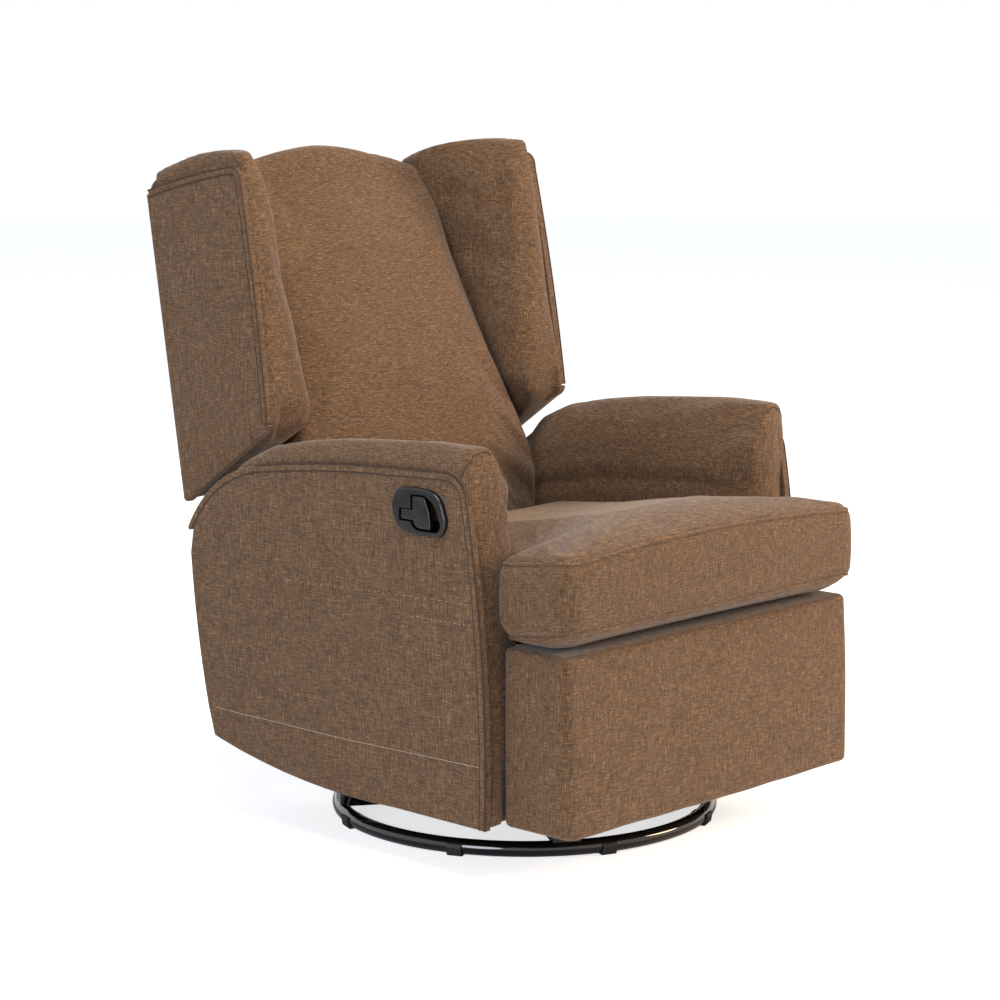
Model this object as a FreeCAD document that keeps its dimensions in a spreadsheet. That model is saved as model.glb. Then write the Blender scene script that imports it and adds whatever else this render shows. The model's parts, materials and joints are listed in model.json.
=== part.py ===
import FreeCAD, Part
import math
import os
from types import SimpleNamespace

from FreeCAD import Placement, Rotation, Vector

# Swivel glider recliner, in millimetres.
# The origin is on the floor under the swivel, +Z is up and the sitter faces -Y.
# A "reach" is a distance forward of the swivel, which is -Y.

SIZES = (
    ("ring_radius", 300, "middle of the ring's tube"),
    ("ring_tube", 12.25, "radius of the ring's tube"),
    ("ring_level", 13.75, "height of the tube's middle"),
    ("crossbar_wide", 44, ""),
    ("crossbar_top", 45, ""),
    ("crossbar_tall", 23, ""),
    ("crossbar_turn", 55, "turn of the first crossbar from +X"),
    ("glide_count", 8, ""),
    ("glide_radius", 15.2, "radius of a glide's clip"),
    ("glide_long", 24, ""),
    ("swivel_plate", 200, "side of a swivel plate"),
    ("steel", 4, "thickness of plates and links"),
    ("race_inner", 56, "bearing race"),
    ("race_outer", 74, ""),
    ("race_tall", 5.6, ""),
    ("king_bolt", 8, "radius of the king bolt"),
    ("running", 0.05, "radial clearance of a running fit"),
    ("glider_side", 150, "middle of the glider frame's side channels"),
    ("glider_long", 320, ""),
    ("channel_wide", 24, ""),
    ("channel_tall", 28, ""),
    ("hanger_reach", 130, "fore and aft place of the hanger pins"),
    ("hanger_high", 215, "height of the upper hanger pins"),
    ("hanger_low", 105, "height of the lower hanger pins"),
    ("pin", 5, "radius of a pivot pin"),
    ("link_round", 13, "radius of a glide link's end"),
    ("rail_in", 180, "inner side of a carriage rail"),
    ("rail_wide", 20, ""),
    ("tube_side", 25, "side of a carriage tube"),
    ("tube_level", 236, "underside of the carriage tubes"),
    ("tube_front", -105, ""),
    ("tube_rear", 175, ""),
    ("mech_in", 246, "inner side of a mechanism plate"),
    ("layer", 6, "step from one link of the footrest to the next"),
    ("swing_reach", 150, "swing link's pivot on the mechanism plate"),
    ("swing_high", 292, ""),
    ("swing_long", 206, "length of a swing link and of a long link"),
    ("rest_reach", 248, "long link's pivot on the footrest bracket"),
    ("rest_high", 262, ""),
    ("guide_reach", 184.4, "guide link's pivot on the mechanism plate"),
    ("guide_high", 252.8, ""),
    ("heel_reach", 161.6, "guide link's pivot on the long link"),
    ("heel_high", 78.1, ""),
    ("tie_reach", 144, "tie link's pivot on the swing link"),
    ("tie_high", 133.7, ""),
    ("toe_reach", 249.8, "tie link's pivot on the footrest bracket"),
    ("toe_high", 310.5, ""),
    ("strap_round", 9, "radius of a footrest link's end"),
    ("open_pivot", 1.7, "clearance at the two pivots that close the linkage"),
    ("recline_back", 330, "recline pivot, behind the swivel"),
    ("recline_high", 300, ""),
    ("wood", 27, "seat side rails"),
    ("seat_rail_out", 277, "outer side of the seat rails, inner side of the arms"),
    ("seat_rail_top", 345, ""),
    ("seat_rail_low", 262, ""),
    ("deck_top", 385, ""),
    ("spring_wire", 3.8, ""),
    ("cushion_narrow", 268, "half width between the arms"),
    ("cushion_wide", 338, "half width in front of the arms"),
    ("cushion_front", -403, ""),
    ("cushion_step", -269, "back of the cushion's ears"),
    ("cushion_back", 172, ""),
    ("cushion_welt", 498, "height of the upper welt"),
    ("cushion_crown", 27, "crown over the upper welt"),
    ("cushion_pitch", 0.13, "fall of the cushion's top per millimetre backwards"),
    ("cushion_droop", 364, "underside of the cushion in front of the seat"),
    ("footrest_half", 331, ""),
    ("footrest_low", 86, ""),
    ("footrest_high", 356, ""),
    ("footrest_front", -402, ""),
    ("footrest_back", -282, "front of the footrest board"),
    ("footrest_rear", -268, "back of the pad's sides, which cover the board's edges"),
    ("board", 12, "thickness of the footrest board"),
    ("arm_out", 375, "outer side of the arm panels"),
    ("panel", 5, "thickness of the arm panels"),
    ("arm_board", 18, "thickness of the arm frames"),
    ("back_lean", 10.5, "lean of the outside back"),
    ("back_foot", 425, "outside back at the height back_level"),
    ("back_level", 504, ""),
    ("cover", 6, "thickness of the outside back"),
    ("back_frame_deep", 40, ""),
    ("webbing", 2, ""),
    ("wing_out", 350, "outer side of a wing at the height wing_low"),
    ("wing_low", 500, ""),
    ("wing_lean", 1.4, "lean of the wings' outer sides"),
    ("wing_panel", 4, ""),
    ("bezel_back", 138, "release bezel, in front of the swivel"),
    ("bezel_high", 548, ""),
    ("bezel_long", 116, ""),
    ("bezel_tall", 73, ""),
    ("bezel_proud", 9, ""),
    ("cup_deep", 22, "depth of the bezel's cup behind the panel"),
)

DOC = FreeCAD.newDocument("SwivelGliderRecliner")
SHEET = DOC.addObject("Spreadsheet::Sheet", "Sizes")
PIECES = []
SIDES = (("left", 1), ("right", -1))


def fill_sheet():
    """Writes the driving dimensions and gives them back as plain numbers."""
    for row, (name, number, note) in enumerate(SIZES, 1):
        SHEET.set(f"A{row}", name)
        SHEET.set(f"B{row}", str(number))
        SHEET.set(f"C{row}", note)
        SHEET.setAlias(f"B{row}", name)
    DOC.recompute()
    return SimpleNamespace(**{name: float(SHEET.get(name)) for name, _, _ in SIZES})


S = fill_sheet()


def bind(obj, **formulas):
    """Ties properties to the sheet: a double underscore stands for a dot."""
    for name, formula in formulas.items():
        obj.setExpression(name.replace("__", "."), formula)
    return obj


def put(obj, x="0", y="0", z="0", axis=None, angle=0):
    """Gives a piece its place by formulas, and its turn about one axis."""
    turn = Rotation(Vector(*axis), angle) if axis else Rotation()
    obj.Placement = Placement(Vector(), turn)
    return bind(obj, Placement__Base__x=x, Placement__Base__y=y, Placement__Base__z=z)


def keep(obj, label):
    """Marks a piece as a finished sub-part."""
    obj.Label = label
    PIECES.append(obj)
    return obj


def flat(a, b):
    return Vector(a, b, 0)


def lines_and_arcs(start, steps, lift=flat):
    """A closed outline: a step is a point, or a pair of a point on an arc and its end."""
    curves = []
    here = start
    for step in steps:
        if isinstance(step[0], tuple):
            through, end = step
            curves.append(Part.ArcOfCircle(lift(*here), lift(*through), lift(*end)))
        else:
            end = step
            curves.append(Part.LineSegment(lift(*here), lift(*end)))
        here = end
    return curves


def wire(curves):
    return Part.Wire(Part.__sortEdges__([curve.toShape() for curve in curves]))


def circle(x, y, radius):
    return [Part.Circle(flat(x, y), Vector(0, 0, 1), radius)]


def strap(points, radius):
    """A bar's outline round points that go anticlockwise, its corners cut in steps of an eighth of a turn."""
    corners = []
    count = len(points)
    for i, (x, y) in enumerate(points):
        before, after = points[i - 1], points[(i + 1) % count]
        turn_in = math.atan2(y - before[1], x - before[0]) - math.pi / 2
        turn_out = math.atan2(after[1] - y, after[0] - x) - math.pi / 2
        if turn_out <= turn_in:
            turn_out += 2 * math.pi
        steps = max(1, round((turn_out - turn_in) / (math.pi / 4)))
        step = (turn_out - turn_in) / steps
        reach = radius / math.cos(step / 2)
        corners += [(x + reach * math.cos(turn_in + step * (k + 0.5)),
                     y + reach * math.sin(turn_in + step * (k + 0.5))) for k in range(steps)]
    return lines_and_arcs(corners[-1], corners)


def new_body(name):
    return DOC.addObject("PartDesign::Body", name)


def sketch(body, plane, loops, shift=0):
    """A sketch on one of the body's planes, moved along the plane's normal."""
    drawing = body.newObject("Sketcher::SketchObject", f"{body.Name}_sketch")
    origin_plane = next(f for f in body.Origin.OriginFeatures if f.Role == plane)
    drawing.AttachmentSupport = [(origin_plane, "")]
    drawing.MapMode = "FlatFace"
    drawing.AttachmentOffset = Placement(Vector(0, 0, shift), Rotation())
    for loop in loops:
        for curve in loop:
            drawing.addGeometry(curve, False)
    return drawing


def pad(body, drawing, length):
    feature = body.newObject("PartDesign::Pad", f"{body.Name}_pad")
    feature.Profile = drawing
    drawing.Visibility = False
    bind(feature, Length=length)
    body.Tip = feature
    return feature


def plate(name, plane, loops, thick, x="0", y="0", z="0", shift=0):
    """A flat piece: outlines on one plane, padded, then put in its place."""
    body = new_body(name)
    pad(body, sketch(body, plane, loops, shift), thick)
    put(body, x, y, z)
    return keep(body, name)


def side_plate(name, sign, loops, thick, inner):
    """A plate in the fore and aft plane, inner is its distance from the middle."""
    x = inner if sign > 0 else f"-({inner}) - ({thick})"
    return plate(name, "YZ_Plane", loops, thick, x)


def box(name, long, wide, tall, x, y, z):
    piece = DOC.addObject("Part::Box", name)
    bind(piece, Length=long, Width=wide, Height=tall)
    return put(piece, x, y, z)


def rod(name, radius, long, x, y, z, axis=None, angle=0, sides=12):
    """A bar with many flat sides that fits inside the round hole of its radius."""
    piece = DOC.addObject("Part::Prism", name)
    piece.Polygon = sides
    bind(piece, Circumradius=radius, Height=long)
    return put(piece, x, y, z, axis, angle)


def cross_rod(name, radius, near, far, sign, y, z, sides=12):
    """A rod along X from near to far, both measured from the middle of the chair."""
    x = near if sign > 0 else f"-({far})"
    return rod(name, radius, f"({far}) - ({near})", x, y, z, (0, 1, 0), 90, sides)


def cross_hex(name, radius, near, far, sign, y, z):
    """A hexagonal head or spacer along X."""
    return cross_rod(name, radius, near, far, sign, y, z, 6)


def fused(name, shapes):
    piece = DOC.addObject("Part::MultiFuse", name)
    piece.Shapes = shapes
    return keep(piece, name)


def shaped(name, shape):
    """A sub-part whose form is worked out below with lofts."""
    piece = DOC.addObject("Part::Feature", name)
    piece.Shape = shape
    return keep(piece, name)


def prism(curves, along):
    return Part.Face(wire(curves)).extrude(along)


def skin(sections):
    """A padded form: flat facets stretched over sections that all have the same number of corners."""
    loops = [section + section[:1] for section in sections]
    facets = [Part.Face(Part.makePolygon(loops[0])), Part.Face(Part.makePolygon(loops[-1]))]
    for lower, upper in zip(loops, loops[1:]):
        for i in range(len(lower) - 1):
            for corners in ((lower[i], lower[i + 1], upper[i + 1]), (lower[i], upper[i + 1], upper[i])):
                facets.append(Part.Face(Part.makePolygon([*corners, corners[0]])))
    solid = Part.makeSolid(Part.makeShell(facets))
    if solid.Volume < 0:
        solid.reverse()
    return solid.removeSplitter()


def mirrored(shape, sign):
    return shape if sign > 0 else shape.mirror(Vector(), Vector(1, 0, 0))


# Ring base

def ring_base():
    """Round tube ring, two crossbars notched over it and clipped-on glides."""
    ring = new_body("base_ring")
    sides = 8
    corners = [(S.ring_radius + S.ring_tube * math.cos(math.radians(360 / sides * (i + 0.5))),
                S.ring_tube * math.sin(math.radians(360 / sides * (i + 0.5)))) for i in range(sides)]
    revolve = ring.newObject("PartDesign::Revolution", "base_ring_revolution")
    section = sketch(ring, "XZ_Plane", [lines_and_arcs(corners[-1], corners)])
    revolve.Profile = section
    revolve.ReferenceAxis = (section, ["V_Axis"])
    revolve.Angle = 360
    ring.Tip = revolve
    put(ring, z="Sizes.ring_level")
    keep(ring, "base_ring")

    bars = []
    for turn in (0, 90):
        bar = DOC.addObject("Part::Box", f"crossbar_{turn}")
        bind(bar, Length="2 * Sizes.ring_radius + 12", Width="Sizes.crossbar_wide",
             Height="Sizes.crossbar_tall")
        angle = math.radians(S.crossbar_turn + turn)
        half_long = S.ring_radius + 6
        half_wide = S.crossbar_wide / 2
        x = -half_long * math.cos(angle) + half_wide * math.sin(angle)
        y = -half_long * math.sin(angle) - half_wide * math.cos(angle)
        bar.Placement = Placement(Vector(x, y, 0), Rotation(Vector(0, 0, 1), S.crossbar_turn + turn))
        bind(bar, Placement__Base__z="Sizes.crossbar_top - Sizes.crossbar_tall")
        bars.append(bar)
    cross = DOC.addObject("Part::MultiFuse", "crossbar_pair")
    cross.Shapes = bars
    notched = DOC.addObject("Part::Cut", "crossbars_notched")
    notched.Base = cross
    notched.Tool = ring
    keep(notched, "base_crossbars")

    DOC.recompute()
    clips = []
    for i in range(int(S.glide_count)):
        turn = 22.5 + 360 / S.glide_count * i
        half, tall = S.glide_radius, S.ring_level + S.ring_tube * 0.45
        outline = lines_and_arcs((5 - half, 0), (
            (half - 5, 0), (half - 2, 3), (half, S.ring_level), (half - 1, tall), (1 - half, tall),
            (-half, S.ring_level), (2 - half, 3), (5 - half, 0)), lambda x, z: Vector(x, S.glide_long / 2, z))
        clip = prism(outline, Vector(0, -S.glide_long, 0))
        clip.Placement = Placement(Vector(), Rotation(Vector(0, 0, 1), turn)).multiply(
            Placement(Vector(S.ring_radius, 0, 0), Rotation()))
        clips.append(clip.cut(ring.Shape))
    shaped("base_glides", Part.makeCompound(clips))


def swivel_bearing():
    """Two pressed plates with a race between them, and the king bolt."""
    half = S.swivel_plate / 2
    cut = 20
    square = lines_and_arcs((half - cut, -half), (
        (half, cut - half), (half, half - cut), (half - cut, half), (cut - half, half),
        (-half, half - cut), (-half, cut - half), (cut - half, -half), (half - cut, -half)))
    bolt_hole = circle(0, 0, S.king_bolt + S.running)
    for name, level, race_low, race_tall, holes in (
            ("swivel_lower_plate", "Sizes.crossbar_top", S.steel, S.race_tall - 4.0, []),
            ("swivel_upper_plate", "Sizes.crossbar_top + 2 * Sizes.steel + Sizes.race_tall - 1.6", -2.0, 2.0,
             [bolt_hole])):
        body = new_body(f"{name}_sheet")
        pad(body, sketch(body, "XY_Plane", [square] + holes), "Sizes.steel")
        put(body, z=level)
        rings = []
        for part_name, radius in (("outer", "Sizes.race_outer"), ("inner", "Sizes.race_inner")):
            form = DOC.addObject("Part::Prism", f"{name}_race_{part_name}")
            form.Polygon = 24
            form.Height = race_tall
            bind(form, Circumradius=radius)
            put(form, z=f"{level} + {race_low}")
            rings.append(form)
        race = DOC.addObject("Part::Cut", f"{name}_race")
        race.Base, race.Tool = rings
        fused(name, [body, race])
    top = "Sizes.crossbar_top + 3 * Sizes.steel + Sizes.race_tall - 1.6"
    shank = rod("king_bolt_shank", "Sizes.king_bolt", "3 * Sizes.steel + Sizes.race_tall + 4",
                "0", "0", "Sizes.crossbar_top + Sizes.steel", sides=20)
    nut = DOC.addObject("Part::Prism", "king_bolt_nut")
    nut.Polygon = 6
    bind(nut, Circumradius="Sizes.king_bolt * 1.8", Height="7")
    put(nut, z=f"{top} + 0.4")
    fused("king_bolt", [shank, nut])


def glider_level():
    """Height of the upper face of the upper swivel plate."""
    return S.crossbar_top + 3 * S.steel + S.race_tall - 1.6


# Glider

def rectangle(x_low, x_high, y_low, y_high):
    return lines_and_arcs((x_low, y_low), ((x_high, y_low), (x_high, y_high), (x_low, y_high), (x_low, y_low)))


def glider_frame():
    """Ladder frame on the swivel, with plates that carry the upper hanger pins."""
    floor = glider_level()
    out = S.glider_side + S.channel_wide / 2
    inner = S.glider_side - S.channel_wide / 2
    end = S.glider_long / 2
    bar = 82
    windows = [rectangle(-inner, inner, -end + 22, -bar), rectangle(-inner, inner, 26 - bar, bar - 26),
               rectangle(-inner, inner, bar, end - 22)]
    plate("glider_base_frame", "XY_Plane", [rectangle(-out, out, -end, end)] + windows,
          "Sizes.channel_tall", z=str(floor))
    for side, sign in SIDES:
        plates = []
        for spot in (-1, 1):
            y = spot * S.hanger_reach
            outline = strap([(y - 20, floor + 14), (y + 20, floor + 14), (y, S.hanger_high)], 12)
            body = new_body(f"hanger_plate_{side}_{'front' if spot < 0 else 'rear'}")
            pad(body, sketch(body, "YZ_Plane", [outline]), "Sizes.steel")
            x = "Sizes.glider_side + Sizes.channel_wide / 2"
            put(body, x if sign > 0 else f"-({x}) - Sizes.steel")
            plates.append(body)
        pair = DOC.addObject("Part::Compound", f"hanger_pair_{side}")
        pair.Links = plates
        keep(pair, f"hanger_brackets_{side}")
    pins = []
    for side, sign in SIDES:
        for spot in (-1, 1):
            y = f"{spot} * Sizes.hanger_reach"
            high = "Sizes.hanger_high"
            tag = f"hanger_pin_{side}_{'front' if spot < 0 else 'rear'}"
            face = "Sizes.glider_side + Sizes.channel_wide / 2 + Sizes.steel"
            pins.append(cross_hex(f"{tag}_shoulder", "8", face, f"{face} + 3.6", sign, y, high))
            pins.append(cross_rod(f"{tag}_shank", "Sizes.pin", f"{face} + 3", f"{face} + 11", sign, y, high))
            pins.append(cross_hex(f"{tag}_head", "8.5", f"{face} + 8.4", f"{face} + 11.4", sign, y, high))
    fused("hanger_pins", pins)


def glide_links():
    """Four flat bars that hang the carriage from the base frame."""
    for spot, where in ((-1, "front"), (1, "rear")):
        y = spot * S.hanger_reach
        for side, sign in SIDES:
            outline = strap([(y, S.hanger_high), (y, S.hanger_low)], S.link_round)
            holes = [circle(y, level, S.pin + S.running) for level in (S.hanger_high, S.hanger_low)]
            side_plate(f"glide_link_{where}_{side}", sign, [outline] + holes, "Sizes.steel",
                       "Sizes.glider_side + Sizes.channel_wide / 2 + Sizes.steel + 4")


def carriage():
    """Side rails with posts, and the two tubes that tie them to the mechanism plates."""
    low, high = S.hanger_low - 15, S.hanger_low + 15
    front, rear = S.tube_front, S.tube_rear
    for side, sign in SIDES:
        outline = lines_and_arcs((-185, low), (
            (195, low), (195, S.tube_level), (rear - 15, S.tube_level), (rear - 15, high + 12),
            ((rear - 18.5, high + 3.5), (rear - 27, high)),
            (front + 27, high),
            ((front + 18.5, high + 3.5), (front + 15, high + 12)),
            (front + 15, S.tube_level), (front - 15, S.tube_level), (front - 15, high + 12),
            ((front - 18.5, high + 3.5), (front - 27, high)), (-185, high), (-185, low)))
        side_plate(f"carriage_rail_{side}", sign, [outline], "Sizes.rail_wide", "Sizes.rail_in")
    for where in ("front", "rear"):
        tube = box(f"carriage_tube_{where}_form", "2 * Sizes.mech_in", "Sizes.tube_side", "Sizes.tube_side",
                   "-Sizes.mech_in", f"Sizes.tube_{where} - Sizes.tube_side / 2", "Sizes.tube_level")
        keep(tube, f"carriage_tube_{where}")


def mechanism_plates():
    """Recliner side plates and the pins of everything that hangs on the carriage."""
    for side, sign in SIDES:
        outline = strap([(-S.guide_reach, S.guide_high), (S.tube_rear, S.guide_high - 4),
                         (S.recline_back, S.recline_high), (-S.swing_reach, S.swing_high + 10)], 16)
        side_plate(f"mechanism_plate_{side}", sign, [outline], "Sizes.steel", "Sizes.mech_in")
    pins = []
    for side, sign in SIDES:
        for spot in (-1, 1):
            y, level = f"{spot} * Sizes.hanger_reach", "Sizes.hanger_low"
            tag = f"carriage_pin_{side}_{'front' if spot < 0 else 'rear'}"
            link = "Sizes.glider_side + Sizes.channel_wide / 2 + Sizes.steel + 4"
            pins.append(cross_hex(f"{tag}_head", "8", f"{link} - 3.2", f"{link} - 0.4", sign, y, level))
            pins.append(cross_rod(f"{tag}_shank", "Sizes.pin", f"{link} - 1", f"{link} + 6", sign, y, level))
            pins.append(cross_hex(f"{tag}_shoulder", "8", f"{link} + Sizes.steel + 0.4", "Sizes.rail_in",
                                  sign, y, level))
        spots = (("swing", "-Sizes.swing_reach", "Sizes.swing_high", "Sizes.mech_in - 2 * Sizes.layer - 0.4"),
                 ("guide", "-Sizes.guide_reach", "Sizes.guide_high", "Sizes.mech_in - Sizes.layer - 0.4"),
                 ("recline", "Sizes.recline_back", "Sizes.recline_high", "Sizes.mech_in - Sizes.layer - 0.4"))
        for name, y, level, inner in spots:
            pins.append(cross_rod(f"{name}_pin_{side}", "Sizes.pin", inner, "Sizes.mech_in", sign, y, level))
            if name != "guide":
                pins.append(cross_hex(f"{name}_pin_head_{side}", "8", f"{inner} - 2", inner, sign, y, level))
    fused("mechanism_pins", pins)


# Footrest linkage

def knee_joint():
    """The swing link's lower pivot: both links are equally long, so it is on the middle line."""
    dx, dz = S.rest_reach - S.swing_reach, S.rest_high - S.swing_high
    apart = math.hypot(dx, dz)
    drop = math.sqrt(S.swing_long ** 2 - apart ** 2 / 4)
    return (S.swing_reach + dx / 2 + dz / apart * drop, S.swing_high + dz / 2 - dx / apart * drop)


def at(reach, level):
    """A point of the fore and aft plane from its reach and its height."""
    return (-reach, level)


def footrest_linkage():
    """Lazy tongs: each side has four links in their own layers, inwards of the side plate."""
    swing = at(S.swing_reach, S.swing_high)
    knee = at(*knee_joint())
    rest = at(S.rest_reach, S.rest_high)
    guide = at(S.guide_reach, S.guide_high)
    heel = at(S.heel_reach, S.heel_high)
    tie = at(S.tie_reach, S.tie_high)
    toe = at(S.toe_reach, S.toe_high)
    fit = S.pin + S.running
    loose = S.pin + S.open_pivot
    round_end = S.strap_round
    order = ("plate", "guide", "swing", "long", "bracket", "tie")
    layers = {name: S.mech_in - S.layer * i for i, name in enumerate(order)}

    def link(name, side, sign, layer, outline, holes, studs):
        loops = [outline] + [circle(*spot, radius) for spot, radius in holes]
        body = new_body(f"{name}_{side}_bar")
        pad(body, sketch(body, "YZ_Plane", loops), "Sizes.steel")
        inner = layers[layer]
        put(body, str(inner if sign > 0 else -inner - S.steel))
        shapes = [body]
        for i, (spot, near, far) in enumerate(studs):
            shapes.append(cross_rod(f"{name}_{side}_stud_{i}", "Sizes.pin", str(near), str(far), sign,
                                    str(spot[0]), str(spot[1])))
        if len(shapes) == 1:
            return keep(body, f"{name}_{side}")
        return fused(f"{name}_{side}", shapes)

    for side, sign in SIDES:
        wide = round_end + 1.5
        link("swing_link", side, sign, "swing", strap([swing, knee], round_end), [(swing, fit)],
             [(knee, layers["long"] - 0.2, layers["swing"] + 1), (tie, layers["tie"] - 0.2, layers["swing"] + 1)])
        link("guide_link", side, sign, "guide", strap([guide, heel], wide), [(guide, fit), (heel, loose)], [])
        link("long_link", side, sign, "long", strap([knee, rest, heel], round_end), [(knee, fit)],
             [(heel, layers["long"] + 1, layers["guide"] + S.steel + 0.4),
              (rest, layers["bracket"] - 0.2, layers["long"] + 1)])
        link("tie_link", side, sign, "tie", strap([tie, toe], round_end + 1), [(tie, fit), (toe, loose)], [])
        back = -S.footrest_back - S.board
        outline = strap([at(back - 9, rest[1] - 26), rest, toe, at(back - 9, toe[1] + 4)], 9)
        link("footrest_bracket", side, sign, "bracket", outline, [(rest, fit)],
             [(toe, layers["tie"] - 0.4, layers["bracket"] + 1)])
    inner = layers["swing"]
    y, z = str(swing[0]), str(swing[1])
    tube = cross_rod("swing_tube_form", "11", str(-inner), str(inner), 1, y, z, 16)
    bore = cross_rod("swing_tube_bore", "9", str(-inner - 1), str(inner + 1), 1, y, z, 16)
    hollow = DOC.addObject("Part::Cut", "swing_tube_hollow")
    hollow.Base = tube
    hollow.Tool = bore
    keep(hollow, "swing_tube")


# Seat frame

def seat_frame():
    """Wooden side, front and rear rails, sinuous springs and the deck pad."""
    for side, sign in SIDES:
        x = "Sizes.seat_rail_out - Sizes.wood"
        rail = box(f"seat_side_rail_{side}_form", "Sizes.wood", "541", "Sizes.seat_rail_top - Sizes.seat_rail_low",
                   x if sign > 0 else f"-({x}) - Sizes.wood", "-256", "Sizes.seat_rail_low")
        keep(rail, f"seat_side_rail_{side}")
    half = S.seat_rail_out - S.wood
    top = S.seat_rail_top
    notched = lines_and_arcs((-half, top), (
        (-half, top - 17), (-205, top - 17), (-205, 276), (205, 276), (205, top - 17), (half, top - 17),
        (half, top), (-half, top)))
    plate("seat_front_rail", "XZ_Plane", [notched], "22", y="-234")
    notched = lines_and_arcs((-half, top), (
        (-half, top - 25), (-205, top - 25), (-205, 285), (205, 285), (205, top - 25), (half, top - 25),
        (half, top), (-half, top)))
    plate("seat_rear_rail", "XZ_Plane", [notched], "22", y="277")
    seat_springs()
    deck = rounded_block(S.cushion_narrow, -257, 178, S.seat_rail_top + S.spring_wire, S.deck_top, 10)
    shaped("seat_deck", deck)


def seat_springs():
    """Zigzag wires from the front rail to the rear rail."""
    pitch, wide, corner = 56.0, 24.0, 14.0
    front, rear = -246.0, 266.0
    count = int((rear - front - 16) // pitch)
    start = front + (rear - front - count * pitch) / 2
    springs = []
    for x in (-156, -52, 52, 156):
        points = [Vector(x, front, 0), Vector(x, start, 0)]
        for i in range(count):
            hand = -1 if i % 2 == 0 else 1
            low, high = start + pitch * i, start + pitch * (i + 1)
            points += [Vector(x + hand * wide, low, 0), Vector(x + hand * (wide + corner), low + corner, 0),
                       Vector(x + hand * (wide + corner), high - corner, 0), Vector(x + hand * wide, high, 0)]
        points += [Vector(x, start + count * pitch, 0), Vector(x, rear, 0)]
        line = Part.makePolygon(points)
        band = line.makeOffset2D(S.spring_wire / 2, fill=True, openResult=True, join=2)
        springs.append(band.extrude(Vector(0, 0, S.spring_wire)))
    group = Part.makeCompound(springs)
    group.translate(Vector(0, 0, S.seat_rail_top))
    shaped("seat_springs", group)


def rounded_block(half, y_low, y_high, z_low, z_high, corner):
    k = corner * 0.29
    outline = lines_and_arcs((half - corner, y_low), (
        ((half - k, y_low + k), (half, y_low + corner)),
        (half, y_high - corner),
        ((half - k, y_high - k), (half - corner, y_high)),
        (corner - half, y_high),
        ((k - half, y_high - k), (-half, y_high - corner)),
        (-half, y_low + corner),
        ((k - half, y_low + k), (corner - half, y_low)),
        (half - corner, y_low)))
    block = prism(outline, Vector(0, 0, z_high - z_low))
    block.translate(Vector(0, 0, z_low))
    return block


# Soft parts

def cushion_outline(inset, level, pitch):
    """T-shaped outline whose long edges bow out between the corners."""
    a, b = S.cushion_narrow - inset, S.cushion_wide - inset
    front, back = S.cushion_front + inset, S.cushion_back - inset
    step = S.cushion_step - inset * 0.6
    r, k = 26, 7.6
    lift = lambda x, y: Vector(x, y, level - pitch * (y - S.cushion_front))
    middle = (front + step) / 2
    return wire(lines_and_arcs((a, back), (
        ((0, back + 1), (-a, back)),
        ((-a + 1, (back + step) / 2), (-a, step)),
        (-b + 8, step - 2),
        ((-b + 2, step - 4), (-b, step - 10)),
        ((-b - 2 + inset * 0.02, middle), (-b, front + r)),
        ((-b + k, front + k), (-b + r, front)),
        ((0, front - 6), (b - r, front)),
        ((b - k, front + k), (b, front + r)),
        ((b + 2 - inset * 0.02, middle), (b, step - 10)),
        ((b - 2, step - 4), (b - 8, step - 2)),
        (a, step),
        ((a - 1, (back + step) / 2), (a, back))), lift))


def seat_cushion():
    """Boxed T-cushion: drawn in at its two welts, crowned on top and pitched backwards."""
    welt, pitch = S.cushion_welt, S.cushion_pitch
    foot, crown = S.deck_top, S.cushion_crown
    levels = ((6, foot, 0), (0, foot + 8, 0), (-1, (foot + welt) / 2, pitch / 2), (1, welt - 6, pitch),
              (12, welt + 0.4 * crown, pitch), (50, welt + crown, pitch))
    form = Part.makeLoft([cushion_outline(*level) for level in levels], True, True)
    shaped("seat_cushion", form.fuse(cushion_nose()))


def cushion_nose():
    """Underside of the cushion that bulges down in front of the seat rail."""
    sections = []
    for level, inset in ((S.deck_top + 9, 1), (S.deck_top - 6, 12), (S.cushion_droop, 34)):
        wide, front, rear = S.cushion_wide - inset * 0.6, S.cushion_front + inset, S.cushion_step - 8
        sections.append([Vector(x, y, level) for x, y in (
            (wide, rear), (wide, front + 20), (wide - 20, front), (20 - wide, front), (-wide, front + 20),
            (-wide, rear))])
    return skin(sections)


def footrest_outline(inset, level, lean):
    half = S.footrest_half - inset
    front = S.footrest_front + inset + lean * (level - S.footrest_low)
    back = S.footrest_rear
    r, k = 22, 6.4
    lift = lambda x, y: Vector(x, y, level)
    return wire(lines_and_arcs((half, back), (
        (-half, back),
        ((-half - 1.5, (back + front) / 2), (-half, front + r)),
        ((-half + k, front + k), (-half + r, front)),
        ((0, front - 8), (half - r, front)),
        ((half - k, front + k), (half, front + r)),
        ((half + 1.5, (back + front) / 2), (half, back))), lift))


def footrest():
    """Crowned footrest pad on a plywood board."""
    low, high = S.footrest_low, S.footrest_high
    lean = 0.037
    levels = ((14, low), (4, low + 7), (-1, low + 30), (-2, (low + high) / 2), (-1, high - 30),
              (4, high - 7), (14, high))
    form = Part.makeLoft([footrest_outline(*level, lean) for level in levels], True, True)
    half = S.footrest_half - 8
    room = Part.makeBox(2 * half, 40, high - low - 24, Vector(-half, S.footrest_back, low + 12))
    shaped("footrest_pad", form.cut(room))
    board = rectangle(-half, half, low + 12, high - 12)
    plate("footrest_board", "XZ_Plane", [board], "Sizes.board", y="Sizes.footrest_back + Sizes.board")


# Arms

ARM_TOP = ((-207, 611), (-80, 607), (60, 598), (166, 588), (230, 578))


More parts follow.
